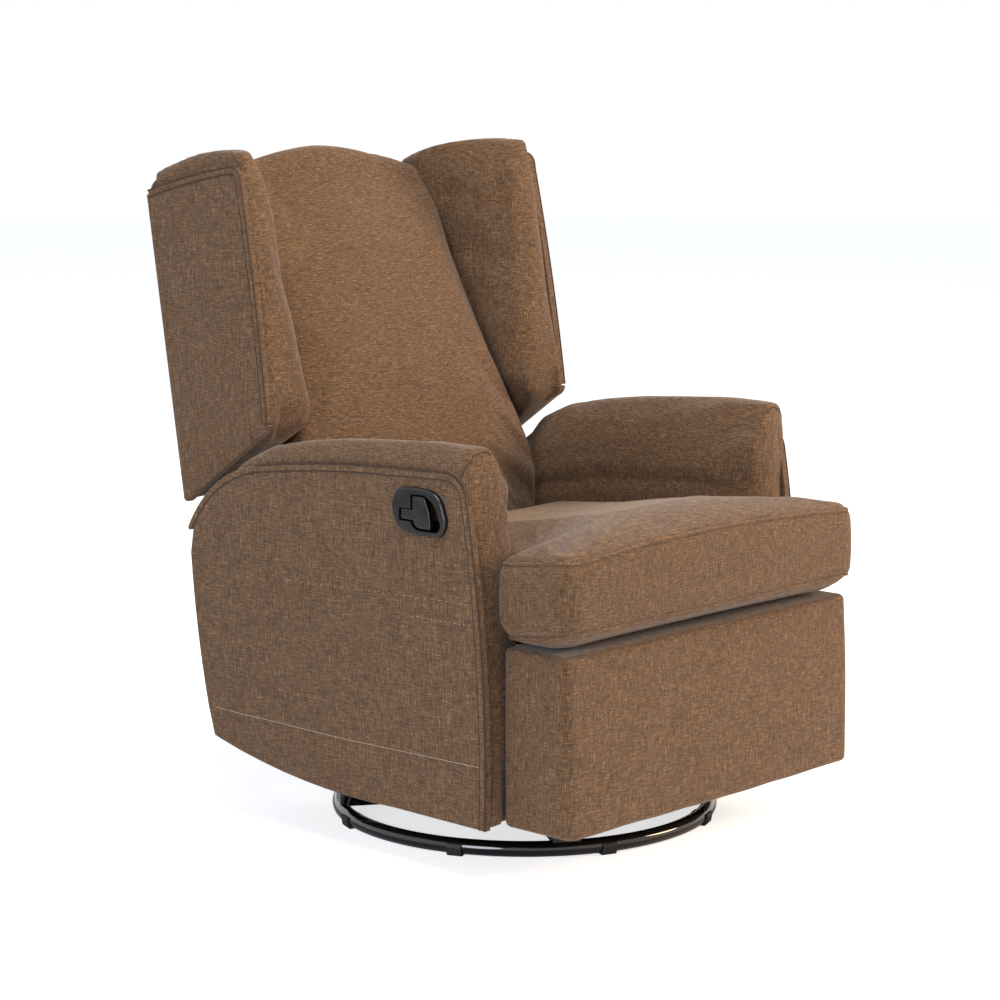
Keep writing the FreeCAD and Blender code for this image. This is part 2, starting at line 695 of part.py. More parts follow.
def arm_side_outline():
    """Outer outline of an arm panel in the fore and aft plane, front edge leaning."""
    top = Part.BSplineCurve()
    top.interpolate([flat(y, z) for y, z in ARM_TOP])
    return [top] + lines_and_arcs(ARM_TOP[-1], (
        ((330, 524), (383, 459)),
        ((374, 345), (345, 177)),
        (331, 131),
        (314, 126),
        ((120, 92), (-75, 86)),
        (-268, 84),
        ((-263, 345), (-231, 590)),
        ARM_TOP[0]))


def arm_frame_outline():
    """Plywood side of an arm, well inside the panel's outline."""
    return lines_and_arcs((-196, 572), (
        (60, 562), (140, 555), (214, 540), (344, 446), (334, 310), (312, 176), (288, 155), (-60, 122),
        (-226, 122), (-236, 138), (-206, 562), (-196, 572)))


def bezel_outline(grow):
    """Rounded outline of the release bezel, on the fore and aft plane."""
    wide = (S.bezel_long / 2 + grow) / 58
    tall = (S.bezel_tall / 2 + grow) / 36
    corners = [(y * wide - S.bezel_back, z * tall + S.bezel_high) for y, z in (
        (38, 34.5), (8, 36.5), (-22, 35.5), (-34, 31), (-45, 20), (-54.5, 4), (-58, -8), (-56, -21), (-51, -29),
        (-43, -34.5), (-30, -36.5), (0, -38), (26, -36.5), (38, -31), (48, -20), (55, -8), (58, 4), (55, 18),
        (48, 29))]
    return lines_and_arcs(corners[-1], corners)


def opening_outline():
    """Tab slot and finger gap of the bezel, round the paddle."""
    y, z = -S.bezel_back, S.bezel_high
    return lines_and_arcs((y + 37, z - 15), (
        (y + 37, z + 4), (y + 13, z + 4), (y + 13, z + 26),
        (y - 14, z + 27),
        (y - 28, z + 20), (y - 39, z + 7), (y - 46, z - 8), (y - 46, z - 18), (y - 42, z - 24), (y - 34, z - 27),
        (y - 4, z - 27), (y + 5, z - 24), (y + 13, z - 15),
        (y + 37, z - 15)))


def paddle_outline():
    """T-shaped paddle: a tab at the hinge and a broad grip."""
    y, z = -S.bezel_back, S.bezel_high
    return lines_and_arcs((y + 34.5, z - 13.4), (
        (y + 34.5, z + 2.4), (y + 11, z + 2.4), (y + 11, z + 21),
        (y + 8, z + 23.5), (y - 10, z + 24), (y - 15, z + 20), (y - 23, z + 2), (y - 26, z - 20),
        (y - 21, z - 24.5), (y - 3, z - 24.5), (y + 4, z - 21.5), (y + 10, z - 13.4),
        (y + 34.5, z - 13.4)))


def arm_section(y, welt, crest):
    """Cross-section of an arm: outer side, crowned top and inner side that swells downwards."""
    out = S.arm_out - S.panel
    inner = S.seat_rail_out
    low = 40
    return [Vector(x, y, z) for x, z in (
        (out, low), (out, welt - 7), (out + 4, welt), (out - 3, crest - 10), (out - 14, crest - 3),
        (out - 33, crest), (out - 48, crest - 5), (out - 56, crest - 18), (inner + 17, crest - 62),
        (inner, crest - 150), (inner, low))]


def arms():
    """Arm frames of plywood, padded arms round them and bordered outer panels."""
    stations = ((-300, 612, 643), (-150, 610, 647), (40, 599, 634), (130, 592, 622), (205, 582, 607),
                (265, 562, 583), (365, 489, 504), (400, 446, 460))
    lean_block = skin([
        [Vector(x, front + y, level) for x, y in ((S.arm_out + 10, 4), (340, -13), (312, -13), (260, 0))]
        + [Vector(260, 420, level), Vector(S.arm_out + 10, 420, level)]
        for front, level in ((-261, 60), (-214, 660))])
    reach_side = prism(arm_trim_outline(), Vector(0, 0, 120))
    turn_side = Rotation(Vector(0, 1, 0), Vector(0, 0, 1), Vector(1, 0, 0), "XYZ")
    reach_side.Placement = Placement(Vector(S.seat_rail_out - 10, 0, 0), turn_side)
    padded = skin([arm_section(*station) for station in stations])
    padded = padded.common(lean_block).common(reach_side)
    recess = Part.makeBox(62, 60, 340, Vector(S.seat_rail_out - 1, -318, 40))
    padded = padded.cut(recess)
    for side, sign in SIDES:
        holes = [] if sign > 0 else [bezel_outline(-5)]
        side_plate(f"arm_panel_{side}", sign, [arm_side_outline()] + holes, "Sizes.panel",
                   "Sizes.arm_out - Sizes.panel")
        board = new_body(f"arm_frame_{side}_board")
        pad(board, sketch(board, "YZ_Plane", [arm_frame_outline()]), "Sizes.arm_board")
        x = "Sizes.arm_out - Sizes.panel - Sizes.arm_board"
        put(board, x if sign > 0 else f"-({x}) - Sizes.arm_board")
        DOC.recompute()
        frame, panel = board.Shape, PIECES[-1].Shape
        if sign > 0:
            keep(board, "arm_frame_left")
            arm = padded.cut(frame).cut(panel)
        else:
            cup_room = prism(bezel_outline(-5), Vector(0, 0, S.arm_board + S.panel))
            cup_room.Placement = Placement(Vector(-S.arm_out, 0, 0), turn_side)
            shaped("arm_frame_right", frame.cut(cup_room))
            arm = mirrored(padded, sign).cut(frame).cut(panel).cut(cup_room)
        shaped(f"arm_pad_{side}", arm)


def arm_trim_outline():
    """Limits of the padded arm behind and below."""
    return lines_and_arcs((-330, 84), (
        (-75, 86), (120, 98), (314, 126), (331, 131), (345, 177), (368, 320), (383, 459),
        (384, 510), (370, 560), (300, 680), (-330, 680), (-330, 84)))


# Back

def lean_place(piece):
    """Puts a piece that was drawn upright on the leaning outside back."""
    piece.Placement = Placement(Vector(), Rotation(Vector(1, 0, 0), -S.back_lean))
    return bind(piece, Placement__Base__y="Sizes.back_foot", Placement__Base__z="Sizes.back_level")


def outside_back(level):
    """Y of the outside back at a height."""
    return S.back_foot + (level - S.back_level) * math.tan(math.radians(S.back_lean))


def up_the_back(level):
    """Distance along the leaning back of a height."""
    return (level - S.back_level) / math.cos(math.radians(S.back_lean))


def back_structure():
    """Ladder frame, webbing, brackets and the outside cover."""
    top, low = up_the_back(940), up_the_back(342)
    middle = (top + low) / 2
    frame = new_body("back_frame")
    loops = [rectangle(-240, 240, low, top), rectangle(-216, 216, low + 40, middle - 16),
             rectangle(-216, 216, middle + 16, top - 34)]
    pad(frame, sketch(frame, "XZ_Plane", loops, S.cover), "Sizes.back_frame_deep")
    lean_place(frame)
    keep(frame, "back_frame")

    cover = new_body("back_cover")
    side, high, step, foot = 332, up_the_back(1000), up_the_back(506), up_the_back(274)
    outline = lines_and_arcs((-270, foot), (
        (270, foot), (270, step), (side + 12, step), (side, high),
        ((side - 8, high + 18), (side - 40, high + 22)),
        ((0, high + 30), (40 - side, high + 22)),
        ((8 - side, high + 18), (-side, high)),
        (-side - 12, step), (-270, step), (-270, foot)))
    pad(cover, sketch(cover, "XZ_Plane", [outline]), "Sizes.cover")
    lean_place(cover)
    keep(cover, "back_cover")

    straps = []
    for i in range(6):
        level = low + 60 + i * (top - low - 100) / 5
        strap_box = Part.makeBox(470, S.webbing, 50)
        strap_box.translate(Vector(-235, -S.cover - S.back_frame_deep - S.webbing, level - 25))
        straps.append(strap_box)
    webbing = shaped("back_webbing", Part.makeCompound(straps))
    lean_place(webbing)

    for name, sign in SIDES:
        outline = strap([(S.recline_back, S.recline_high), (374, 368), (393, 470), (376, 470)], 13)
        hole = circle(S.recline_back, S.recline_high, S.pin + S.running)
        side_plate(f"back_bracket_{name}", sign, [outline, hole], "Sizes.steel", "Sizes.mech_in - Sizes.layer")


BACK_LEVELS = (
    (390, 262, 196), (503, 266, 200), (560, 264, 218), (620, 254, 243), (680, 247, 267), (944, 244, 418))
CROWN_LEVELS = ((944, 244, 418), (1000, 240, 452), (1030, 202, 464), (1050, 128, 474))
WING_LEVELS = (
    (470, 268, 262, 236), (625, 251, 262, 222), (658, 240, 282, 226), (791, 249, 356, 250), (874, 263, 398, 262),
    (966, 285, 436, 276), (1056, 322, 462, 300))


def back_section(level, half, front, over_frame=False):
    """Horizontal section of the back cushion: flat behind, bowed in front."""
    lean = math.radians(S.back_lean)
    rear = outside_back(level) - (S.cover + S.back_frame_deep + S.webbing) / math.cos(lean) - 0.5
    if over_frame:
        rear = outside_back(level) - S.cover / math.cos(lean) - max(0, level - 1000) * 0.5
    shoulder = min(34, (rear - front) * 0.45)
    side = ((1, 0.98), (0.985, 0.45), (0.945, 0.14), (0.87, 0))
    right = [(half * wide, front + shoulder * deep) for wide, deep in side]
    middle = [(half / 2, front - 6), (0, front - 9), (-half / 2, front - 6)]
    left = [(-x, y) for x, y in reversed(right)]
    return [Vector(x, y, level) for x, y in right + middle + left + [(-half, rear), (half, rear)]]


def wing_section(level, inner, meet, front):
    """Horizontal section of the left wing: outer side, rolled front edge, inner side."""
    out = S.wing_out - S.wing_panel - 0.1 - (level - S.wing_low) * math.tan(math.radians(S.wing_lean))
    rear = min(outside_back(level), outside_back(1010)) - S.cover - 1
    joint = 269 if level < 600 else 255 if level < 640 else 248
    roll = min(16, (out - inner) * 0.3)
    joint = min(joint, inner + 12) if level > 640 else joint
    return [Vector(x, y, level) for x, y in (
        (out, rear), (out, front + roll), (out - roll * 0.3, front + roll * 0.3), (out - roll, front),
        (inner + roll, front - 1), (inner + roll * 0.3, front + roll * 0.3), (inner, front + roll),
        (joint, meet), (joint, rear))]


def wing_side_outline():
    """Outer outline of a wing in the fore and aft plane."""
    return lines_and_arcs((506, 996), (
        ((513, 992), (515, 985)),
        (425, 506),
        ((421, 499), (413, 500)),
        (241, 620),
        ((228, 630), (224, 642)),
        ((235, 748), (262, 890)),
        ((274, 967), (289, 1022)),
        ((296, 1037), (312, 1039)),
        ((409, 1021), (506, 996))))


def back_padding():
    """Centre cushion of the back, the two wings beside it and their outer panels."""
    centre = skin([back_section(*entry) for entry in BACK_LEVELS])
    crown = skin([back_section(*entry, True) for entry in CROWN_LEVELS])
    behind = Part.makeBox(900, 120, 900, Vector(-450, -S.cover, -160))
    behind.Placement = Placement(Vector(0, S.back_foot, S.back_level), Rotation(Vector(1, 0, 0), -S.back_lean))
    DOC.recompute()
    inside = [piece.Shape for piece in PIECES if piece.Label in (
        "back_frame", "back_webbing", "back_bracket_left", "back_bracket_right")]
    centre = centre.fuse(crown).cut(Part.makeCompound(inside)).cut(behind)
    shaped("back_cushion", centre)
    turn_side = Rotation(Vector(0, 1, 0), Vector(0, 0, 1), Vector(1, 0, 0), "XYZ")
    under = prism(lines_and_arcs((180, 662), ((430, 488), (430, 380), (180, 380), (180, 662))), Vector(0, 0, 200))
    under.Placement = Placement(Vector(220, 0, 0), turn_side)
    wing = skin([wing_section(*entry) for entry in WING_LEVELS])
    over = prism(lines_and_arcs((200, 1041), (
        (280, 1047), ((345, 1052), (439, 1036)), (560, 997), (560, 1120), (200, 1120), (200, 1041))),
        Vector(0, 0, 200))
    over.Placement = under.Placement
    wing = wing.cut(under).cut(over).cut(centre).cut(Part.makeCompound(inside)).cut(behind)
    for side, sign in SIDES:
        shaped(f"wing_pad_{side}", mirrored(wing, sign))
        body = new_body(f"wing_panel_{side}")
        pad(body, sketch(body, "YZ_Plane", [wing_side_outline()]), "Sizes.wing_panel")
        x = "Sizes.wing_out - Sizes.wing_panel"
        lean = -S.wing_lean * sign
        foot = math.tan(math.radians(S.wing_lean)) * S.wing_low
        put(body, f"{x} + {foot}" if sign > 0 else f"-({x}) - Sizes.wing_panel - {foot}", axis=(0, 1, 0), angle=lean)
        keep(body, f"wing_panel_{side}")


def rear_apron():
    """Padded rail between the arms, below the back."""
    apron = rounded_block(S.seat_rail_out - 0.5, -8, 8, 0, 112, 5)
    piece = shaped("rear_apron", apron)
    piece.Placement = Placement(Vector(0, 334, 130), Rotation(Vector(1, 0, 0), -7.5))


def release_handle():
    """Moulded bezel with a finger cup, and the paddle that turns on its tab."""
    face = -S.arm_out
    turn_side = Rotation(Vector(0, 1, 0), Vector(0, 0, 1), Vector(1, 0, 0), "XYZ")
    steps = ((-3, 0), (0, 3), (0, S.bezel_proud))
    rings = []
    for grow, depth in steps:
        ring = wire(bezel_outline(grow))
        ring.translate(Vector(0, 0, depth))
        rings.append(ring)
    rim = Part.makeLoft(rings, True, True)
    rim.Placement = Placement(Vector(face - S.bezel_proud, 0, 0), turn_side)
    cup = prism(bezel_outline(-5.3), Vector(0, 0, S.cup_deep + 0.9))
    cup.Placement = Placement(Vector(face, 0, 0), turn_side)
    room = prism(opening_outline(), Vector(0, 0, S.bezel_proud + S.cup_deep))
    room.Placement = Placement(Vector(face - S.bezel_proud - 1, 0, 0), turn_side)
    hinge_x, hinge_y = face - 4.5, 32.5 - S.bezel_back
    low, high = S.bezel_high - 18, S.bezel_high + 7
    pin_room = Part.makeCylinder(2 + S.running, high - low + 1, Vector(hinge_x, hinge_y, low - 0.5))
    shaped("release_bezel", rim.fuse(cup).cut(room).cut(pin_room))
    paddle = prism(paddle_outline(), Vector(0, 0, 6))
    paddle.Placement = Placement(Vector(face - 7.5, 0, 0), turn_side)
    pin = Part.makeCylinder(2, high - low, Vector(hinge_x, hinge_y, low))
    shaped("release_paddle", paddle.fuse(pin))


MAKERS = (ring_base, swivel_bearing, glider_frame, glide_links, carriage, mechanism_plates, footrest_linkage,
          seat_frame, seat_cushion, footrest, arms, back_structure, back_padding, rear_apron, release_handle)


def export_pieces():
    """Checks every object, then writes each piece."""
    DOC.recompute()
    for obj in DOC.Objects:
        if {"Invalid", "Error"} & set(obj.State):
            raise RuntimeError(f"{obj.Label} is {obj.State}")
    os.makedirs("parts", exist_ok=True)
    for piece in PIECES:
        shape = piece.Shape
        if shape.isNull() or not shape.isValid() or not shape.Solids:
            raise RuntimeError(f"{piece.Label} has no valid solid")
        shape.exportStep(f"parts/{piece.Label}.step")
    print(f"{len(PIECES)} pieces written")


for make in MAKERS:
    make()
export_pieces()
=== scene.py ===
import json
import math

import bmesh
import bpy
import numpy as np
from mathutils import Matrix, Vector, noise
from mathutils.bvhtree import BVHTree


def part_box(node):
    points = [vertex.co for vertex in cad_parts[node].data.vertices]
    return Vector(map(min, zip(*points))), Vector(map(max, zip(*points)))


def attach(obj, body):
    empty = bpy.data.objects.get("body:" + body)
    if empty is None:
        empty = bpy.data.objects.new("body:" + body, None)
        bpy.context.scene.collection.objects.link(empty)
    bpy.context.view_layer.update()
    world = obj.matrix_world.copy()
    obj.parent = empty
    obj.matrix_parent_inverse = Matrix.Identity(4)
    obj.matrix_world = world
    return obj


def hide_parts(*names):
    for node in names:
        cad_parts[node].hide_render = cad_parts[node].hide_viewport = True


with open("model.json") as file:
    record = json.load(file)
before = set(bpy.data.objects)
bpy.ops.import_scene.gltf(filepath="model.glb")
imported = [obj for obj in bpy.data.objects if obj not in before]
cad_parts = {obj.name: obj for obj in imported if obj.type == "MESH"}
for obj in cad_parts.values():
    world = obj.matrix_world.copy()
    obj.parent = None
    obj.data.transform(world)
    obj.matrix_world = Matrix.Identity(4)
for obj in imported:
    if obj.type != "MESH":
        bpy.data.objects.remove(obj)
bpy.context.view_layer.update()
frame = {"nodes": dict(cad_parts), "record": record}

# Swivel glider recliner: metres, the sitter faces -Y, the floor is z = 0.

NODES = frame["nodes"]
MM = 0.001
SIDES = (("left", 1), ("right", -1))

# Driving sizes, the same as the model's

ARM_FACE = 0.375
WING_FACE = 0.350
WING_LOW = 0.500
WING_LEAN = math.radians(1.4)
BACK_LEAN = math.radians(10.5)
BACK_FOOT = Vector((0, 0.425, 0.504))
RING_RADIUS = 0.300
RING_TUBE = 0.01225
RING_LEVEL = 0.01375
BAND_WIDE = 0.0105
VOXEL = 0.007
CUSHION_PITCH = 0.13


# Colours and materials

STOPS = "ShaderNodeValToRGB"
BUMP = "ShaderNodeBump"


def linear(hex_code):
    """sRGB hex to the linear colour that the nodes work in."""
    channels = [int(hex_code[i:i + 2], 16) / 255 for i in (1, 3, 5)]
    return (*[c / 12.92 if c <= 0.04045 else ((c + 0.055) / 1.055) ** 2.4 for c in channels], 1)


def node(tree, kind, settings=(), links=(), into=None):
    """Adds a node: settings name properties, sockets or colour stops, and links and into what it joins."""
    made = tree.nodes.new(kind)
    for name, value in dict(settings).items():
        if name == "stops":
            elements = made.color_ramp.elements
            while len(elements) < len(value):
                elements.new(0.5)
            for element, (place, colour) in zip(elements, value):
                element.position = place
                element.color = linear(colour)
        elif isinstance(name, str) and hasattr(made, name):
            setattr(made, name, value)
        else:
            made.inputs[name].default_value = linear(value) if isinstance(value, str) else value
    for name, source in dict(links).items():
        feed = source.outputs[0] if isinstance(source, bpy.types.Node) else source
        tree.links.new(feed, made.inputs[name])
    if into:
        tree.links.new(made.outputs[0], into)
    return made


def material(name, base, roughness, metallic=0.0, **sockets):
    made = bpy.data.materials.new(name)
    made.use_nodes = True
    surface = made.node_tree.nodes["Principled BSDF"]
    surface.inputs["Base Color"].default_value = linear(base)
    surface.inputs["Roughness"].default_value = roughness
    surface.inputs["Metallic"].default_value = metallic
    for socket, value in sockets.items():
        surface.inputs[socket.replace("_", " ")].default_value = value
    return made, made.node_tree, surface


def grain(tree, across, along, axis="Z", detail=2.0, rough=0.5):
    """Noise in the object's own place, its grains so many millimetres across and along one axis."""
    size = {"X": across, "Y": across, "Z": across}
    size[axis] = along
    place = node(tree, "ShaderNodeTexCoord")
    scaled = node(tree, "ShaderNodeMapping", {"Scale": [1 / (size[name] * MM) for name in "XYZ"]},
                  {"Vector": place.outputs["Object"]})
    return node(tree, "ShaderNodeTexNoise", {"Scale": 1.0, "Detail": detail, "Roughness": rough},
                {"Vector": scaled})


def chenille():
    """Heathered chenille: soft yarns, some lighter, some darker, and a short nap that glows at the edges.

    The real yarns are about 0.7 mm thick; here they are twice that, so that they show in the picture.
    """
    made, tree, surface = material("chenille", "#664D3A", 0.92, Sheen_Weight=0.18, Sheen_Roughness=0.45)
    warp = grain(tree, 1.4, 18.0, rough=0.6)
    weft = grain(tree, 12.0, 1.4, rough=0.6)
    flecks = grain(tree, 1.8, 2.6, rough=0.6)
    wear = grain(tree, 60.0, 90.0, detail=3.0, rough=0.55)
    blend = {"data_type": "RGBA", "blend_type": "MIX"}
    yarn = node(tree, "ShaderNodeMix", {**blend, 0: 0.5}, {6: warp, 7: weft}).outputs[2]
    tone = node(tree, STOPS, {"stops": (
        (0.36, "#382618"), (0.47, "#584029"), (0.54, "#6A4E33"), (0.66, "#8F7052"))}, {"Fac": yarn})
    worn = node(tree, STOPS, {"stops": (
        (0.35, "#746655"), (0.5, "#7F7F7F"), (0.65, "#8A8A8A"))}, {"Fac": wear})
    speck = node(tree, STOPS, {"stops": (
        (0.0, "#000000"), (0.62, "#000000"), (0.76, "#FFFFFF"))}, {"Fac": flecks})
    faint = node(tree, "ShaderNodeMix", {**blend, 0: 0.72, 7: "#000000"}, {6: speck}).outputs[2]
    cloth = node(tree, "ShaderNodeMix", {**blend, "blend_type": "SOFT_LIGHT", 0: 0.35}, {6: tone, 7: worn})
    flecked = node(tree, "ShaderNodeMix", {**blend, 7: "#A68C6E"}, {0: faint, 6: cloth.outputs[2]})
    tree.links.new(flecked.outputs[2], surface.inputs["Base Color"])
    nap = node(tree, "ShaderNodeMath", {"operation": "MULTIPLY_ADD", 1: 0.6}, {0: flecks, 2: yarn})
    node(tree, BUMP, {"Strength": 0.35, "Distance": 0.6 * MM}, {"Height": nap}, surface.inputs["Normal"])
    return made


def painted_seam_shade():
    """Painted shade in a pulled seam: the same yarn, darkened to stand in for the shadow where little light
    gets in.
    """
    made, tree, surface = material("painted_seam_shade", "#3A2A20", 0.95)
    node(tree, STOPS, {"stops": ((0.3, "#2A1D15"), (0.7, "#49372B"))},
         {"Fac": grain(tree, 1.2, 1.2)}, surface.inputs["Base Color"])
    return made


def tacking_thread():
    """Light polyester thread of the tacking stitches that show on the arm panels."""
    made, tree, surface = material("tacking_thread", "#A08E78", 0.6)
    node(tree, STOPS, {"stops": ((0.3, "#8C7B67"), (0.7, "#AC9A84"))},
         {"Fac": grain(tree, 0.8, 0.8)}, surface.inputs["Base Color"])
    return made


def ring_enamel():
    """Black stove enamel on the bent tube: smooth and glossy, with faint orange peel."""
    made, tree, surface = material("ring_enamel", "#0B0B0C", 0.16, Coat_Weight=0.6, Coat_Roughness=0.06)
    dust = grain(tree, 14.0, 14.0, detail=4.0)
    node(tree, STOPS, {"stops": ((0.3, "#2C2C2C"), (0.75, "#585858"))},
         {"Fac": dust}, surface.inputs["Roughness"])
    node(tree, BUMP, {"Strength": 0.06, "Distance": 0.3 * MM}, {"Height": grain(tree, 5.0, 5.0)},
         surface.inputs["Normal"])
    return made


def moulded_abs():
    """Moulded ABS of the release: near black with a fine spark-eroded grain."""
    made, tree, surface = material("moulded_abs", "#0E0E10", 0.46)
    rubbed = grain(tree, 25.0, 25.0, detail=3.0)
    node(tree, STOPS, {"stops": ((0.3, "#0B0B0D"), (0.7, "#131416"))},
         {"Fac": rubbed}, surface.inputs["Base Color"])
    node(tree, STOPS, {"stops": ((0.3, "#707070"), (0.7, "#8E8E8E"))},
         {"Fac": rubbed}, surface.inputs["Roughness"])
    node(tree, BUMP, {"Strength": 0.25, "Distance": 0.15 * MM}, {"Height": grain(tree, 0.9, 0.9)},
         surface.inputs["Normal"])
    return made


def glide_plastic():
    """Polypropylene glides: matt black, scuffed grey near the floor."""
    made, tree, surface = material("glide_plastic", "#18181A", 0.6)
    node(tree, STOPS, {"stops": ((0.35, "#121214"), (0.75, "#2A2A2B"))},
         {"Fac": grain(tree, 3.0, 3.0, detail=4.0)}, surface.inputs["Base Color"])
    return made


def black_steel():
    """Electro-coated mechanism steel: thin satin black that follows the rolled sheet."""
    made, tree, surface = material("black_steel", "#1A1B1D", 0.42)
    node(tree, STOPS, {"stops": ((0.3, "#141517"), (0.75, "#242628"))},
         {"Fac": grain(tree, 35.0, 35.0, detail=4.0)}, surface.inputs["Base Color"])
    rolled = grain(tree, 2.0, 40.0, "Y", 3.0)
    node(tree, STOPS, {"stops": ((0.3, "#626262"), (0.7, "#868686"))},
         {"Fac": rolled}, surface.inputs["Roughness"])
    return made


def zinc_steel():
    """Zinc-plated pins and spring wire: bright with a bluish tarnish."""
    made, tree, surface = material("zinc_steel", "#B9BDC1", 0.35, 1.0)
    tarnish = grain(tree, 9.0, 9.0, detail=4.0)
    node(tree, STOPS, {"stops": ((0.3, "#9FA3A8"), (0.7, "#C6C9CB"))},
         {"Fac": tarnish}, surface.inputs["Base Color"])
    node(tree, STOPS, {"stops": ((0.3, "#4A4A4A"), (0.7, "#757575"))},
         {"Fac": tarnish}, surface.inputs["Roughness"])
    return made


def frame_wood():
    """Sawn hardwood and plywood of the frame: pale, with grain along the board."""
    made, tree, surface = material("frame_wood", "#B08C62", 0.7)
    fibre = grain(tree, 3.0, 90.0, "Y", 4.0, 0.6)
    node(tree, STOPS, {"stops": ((0.3, "#8E6B45"), (0.5, "#B08C62"), (0.72, "#C6A67C"))},
         {"Fac": fibre}, surface.inputs["Base Color"])
    node(tree, BUMP, {"Strength": 0.2, "Distance": 0.3 * MM}, {"Height": fibre},
         surface.inputs["Normal"])
    return made


def deck_cloth():
    """Black spun-bonded cloth of the spring deck and of the webbing."""
    made, tree, surface = material("deck_cloth", "#1D1B1A", 0.95)
    weave = grain(tree, 1.5, 1.5)
    node(tree, STOPS, {"stops": ((0.3, "#141312"), (0.7, "#2A2726"))},
         {"Fac": weave}, surface.inputs["Base Color"])
    node(tree, BUMP, {"Strength": 0.4, "Distance": 0.4 * MM}, {"Height": weave},
         surface.inputs["Normal"])
    return made


CHENILLE = chenille()
# Painted seam shade: dark yarn cords laid in the seams' grooves in place of their shadow.
SEAM_SHADE = painted_seam_shade()
TACKING = tacking_thread()
ENAMEL = ring_enamel()
ABS = moulded_abs()
GLIDE = glide_plastic()
STEEL = black_steel()
ZINC = zinc_steel()
WOOD = frame_wood()
DECK = deck_cloth()

SLOT_FINISH = {"ring_black": ENAMEL, "glide_black": GLIDE, "handle_black": ABS, "zinc": ZINC,
               "mechanism_steel": STEEL, "plywood": WOOD, "webbing": DECK, "deck_cloth": DECK,
               "upholstery": CHENILLE}


def dress_frame():
    """Gives each node of the model the finish of its material slot."""
    slots = {entry["node"]: entry["material_slot"] for entry in frame["record"]["subparts"]}
    for name, obj in NODES.items():
        obj.data.materials.clear()
        obj.data.materials.append(SLOT_FINISH[slots[name]])


# Pieces and outlines

def piece(name, bm, finish):
    """Turns a bmesh into a named object at the origin."""
    mesh = bpy.data.meshes.new(name)
    bm.to_mesh(mesh)
    bm.free()
    obj = bpy.data.objects.new(name, mesh)
    bpy.context.scene.collection.objects.link(obj)
    mesh.materials.append(finish)
    mesh.shade_smooth()
    return obj


def settled(obj):
    """Applies the modifiers of a piece to its mesh."""
    graph = bpy.context.evaluated_depsgraph_get()
    graph.update()
    mesh = bpy.data.meshes.new_from_object(obj.evaluated_get(graph))
    obj.modifiers.clear()
    old = obj.data
    obj.data = mesh
    bpy.data.meshes.remove(old)
    mesh.name = obj.name
    mesh.shade_smooth()
    return obj


def arc(start, through, end, steps):
    """Points of the circle through three points, without the first."""
    (ax, ay), (bx, by), (cx, cy) = start, through, end
    d = 2 * (ax * (by - cy) + bx * (cy - ay) + cx * (ay - by))
    aa, bb, cc = ax * ax + ay * ay, bx * bx + by * by, cx * cx + cy * cy
    ux = (aa * (by - cy) + bb * (cy - ay) + cc * (ay - by)) / d
    uy = (aa * (cx - bx) + bb * (ax - cx) + cc * (bx - ax)) / d
    first = math.atan2(ay - uy, ax - ux)
    middle = (math.atan2(by - uy, bx - ux) - first) % math.tau
    last = (math.atan2(cy - uy, cx - ux) - first) % math.tau
    if middle > last:
        last -= math.tau
    radius = math.hypot(ax - ux, ay - uy)
    turns = [first + last * i / steps for i in range(1, steps + 1)]
    return [(ux + radius * math.cos(turn), uy + radius * math.sin(turn)) for turn in turns]


def trace(start, *moves, steps=8):
    """An outline in millimetres: a move is a point, or a point on an arc and the arc's end."""
    points = [start]
    for move in moves:
        if isinstance(move[0], tuple):
            points += arc(points[-1], move[0], move[1], steps)
        else:
            points.append(move)
    return [(x * MM, y * MM) for x, y in points]


def set_in(path, distance):
    """An open path moved to its left by a distance, which may change along it."""
    moved = []
    for i, (x, y) in enumerate(path):
        before, after = path[max(i - 1, 0)], path[min(i + 1, len(path) - 1)]
        dx, dy = after[0] - before[0], after[1] - before[1]
        length = math.hypot(dx, dy)
        reach = distance(i / (len(path) - 1)) if callable(distance) else distance
        moved.append((x - dy / length * reach, y + dx / length * reach))
    return moved


def evened(path, gap, closed=False):
    """Spreads points evenly along a polyline of vectors."""
    points = [Vector(p) for p in path]
    if closed:
        points.append(points[0])
    lengths = [(b - a).length for a, b in zip(points, points[1:])]
    count = max(2, round(sum(lengths) / gap))
    wanted = [sum(lengths) * i / count for i in range(count if closed else count + 1)]
    spread, run, i = [], 0.0, 0
    for distance in wanted:
        while i < len(lengths) - 1 and run + lengths[i] < distance:
            run += lengths[i]
            i += 1
        share = (distance - run) / lengths[i] if lengths[i] else 0
        spread.append(points[i].lerp(points[i + 1], min(1, share)))
    return spread


def even_line(path, gap=0.006):
    """The same open line in a drawing with even points."""
    return [(p.x, p.y) for p in evened([(x, y, 0) for x, y in path], gap)]


def drawn_in(path, distance):
    """An even line just inside the outline, where the rounded edge of the padding begins."""
    return even_line(set_in(even_line(path), distance))


def side_frame(sign, face, lean=0.0, low=0.0):
    """Matrix from a side drawing (back, up, out) to the chair, for a face that leans in above a height."""
    tilt = Matrix.Rotation(-lean * sign, 4, "Y")
    turn = Matrix(((0, 0, sign, 0), (1, 0, 0, 0), (0, 1, 0, 0), (0, 0, 0, 1)))
    return Matrix.Translation((sign * (face + math.tan(lean) * low), 0, 0)) @ tilt @ turn


def back_frame_matrix():
    """Matrix from a drawing of the outside back (across, up, out) to the chair."""
    lean = Matrix.Translation(BACK_FOOT) @ Matrix.Rotation(-BACK_LEAN, 4, "X")
    turn = Matrix(((-1, 0, 0, 0), (0, 0, 1, 0), (0, 1, 0, 0), (0, 0, 0, 1)))
    return lean @ turn


def loop_edges(bm, outline, level):
    """The edges of a closed outline at a level."""
    corners = [bm.verts.new((u, v, level)) for u, v in outline]
    return [bm.edges.new((a, b)) for a, b in zip(corners, corners[1:] + corners[:1])]


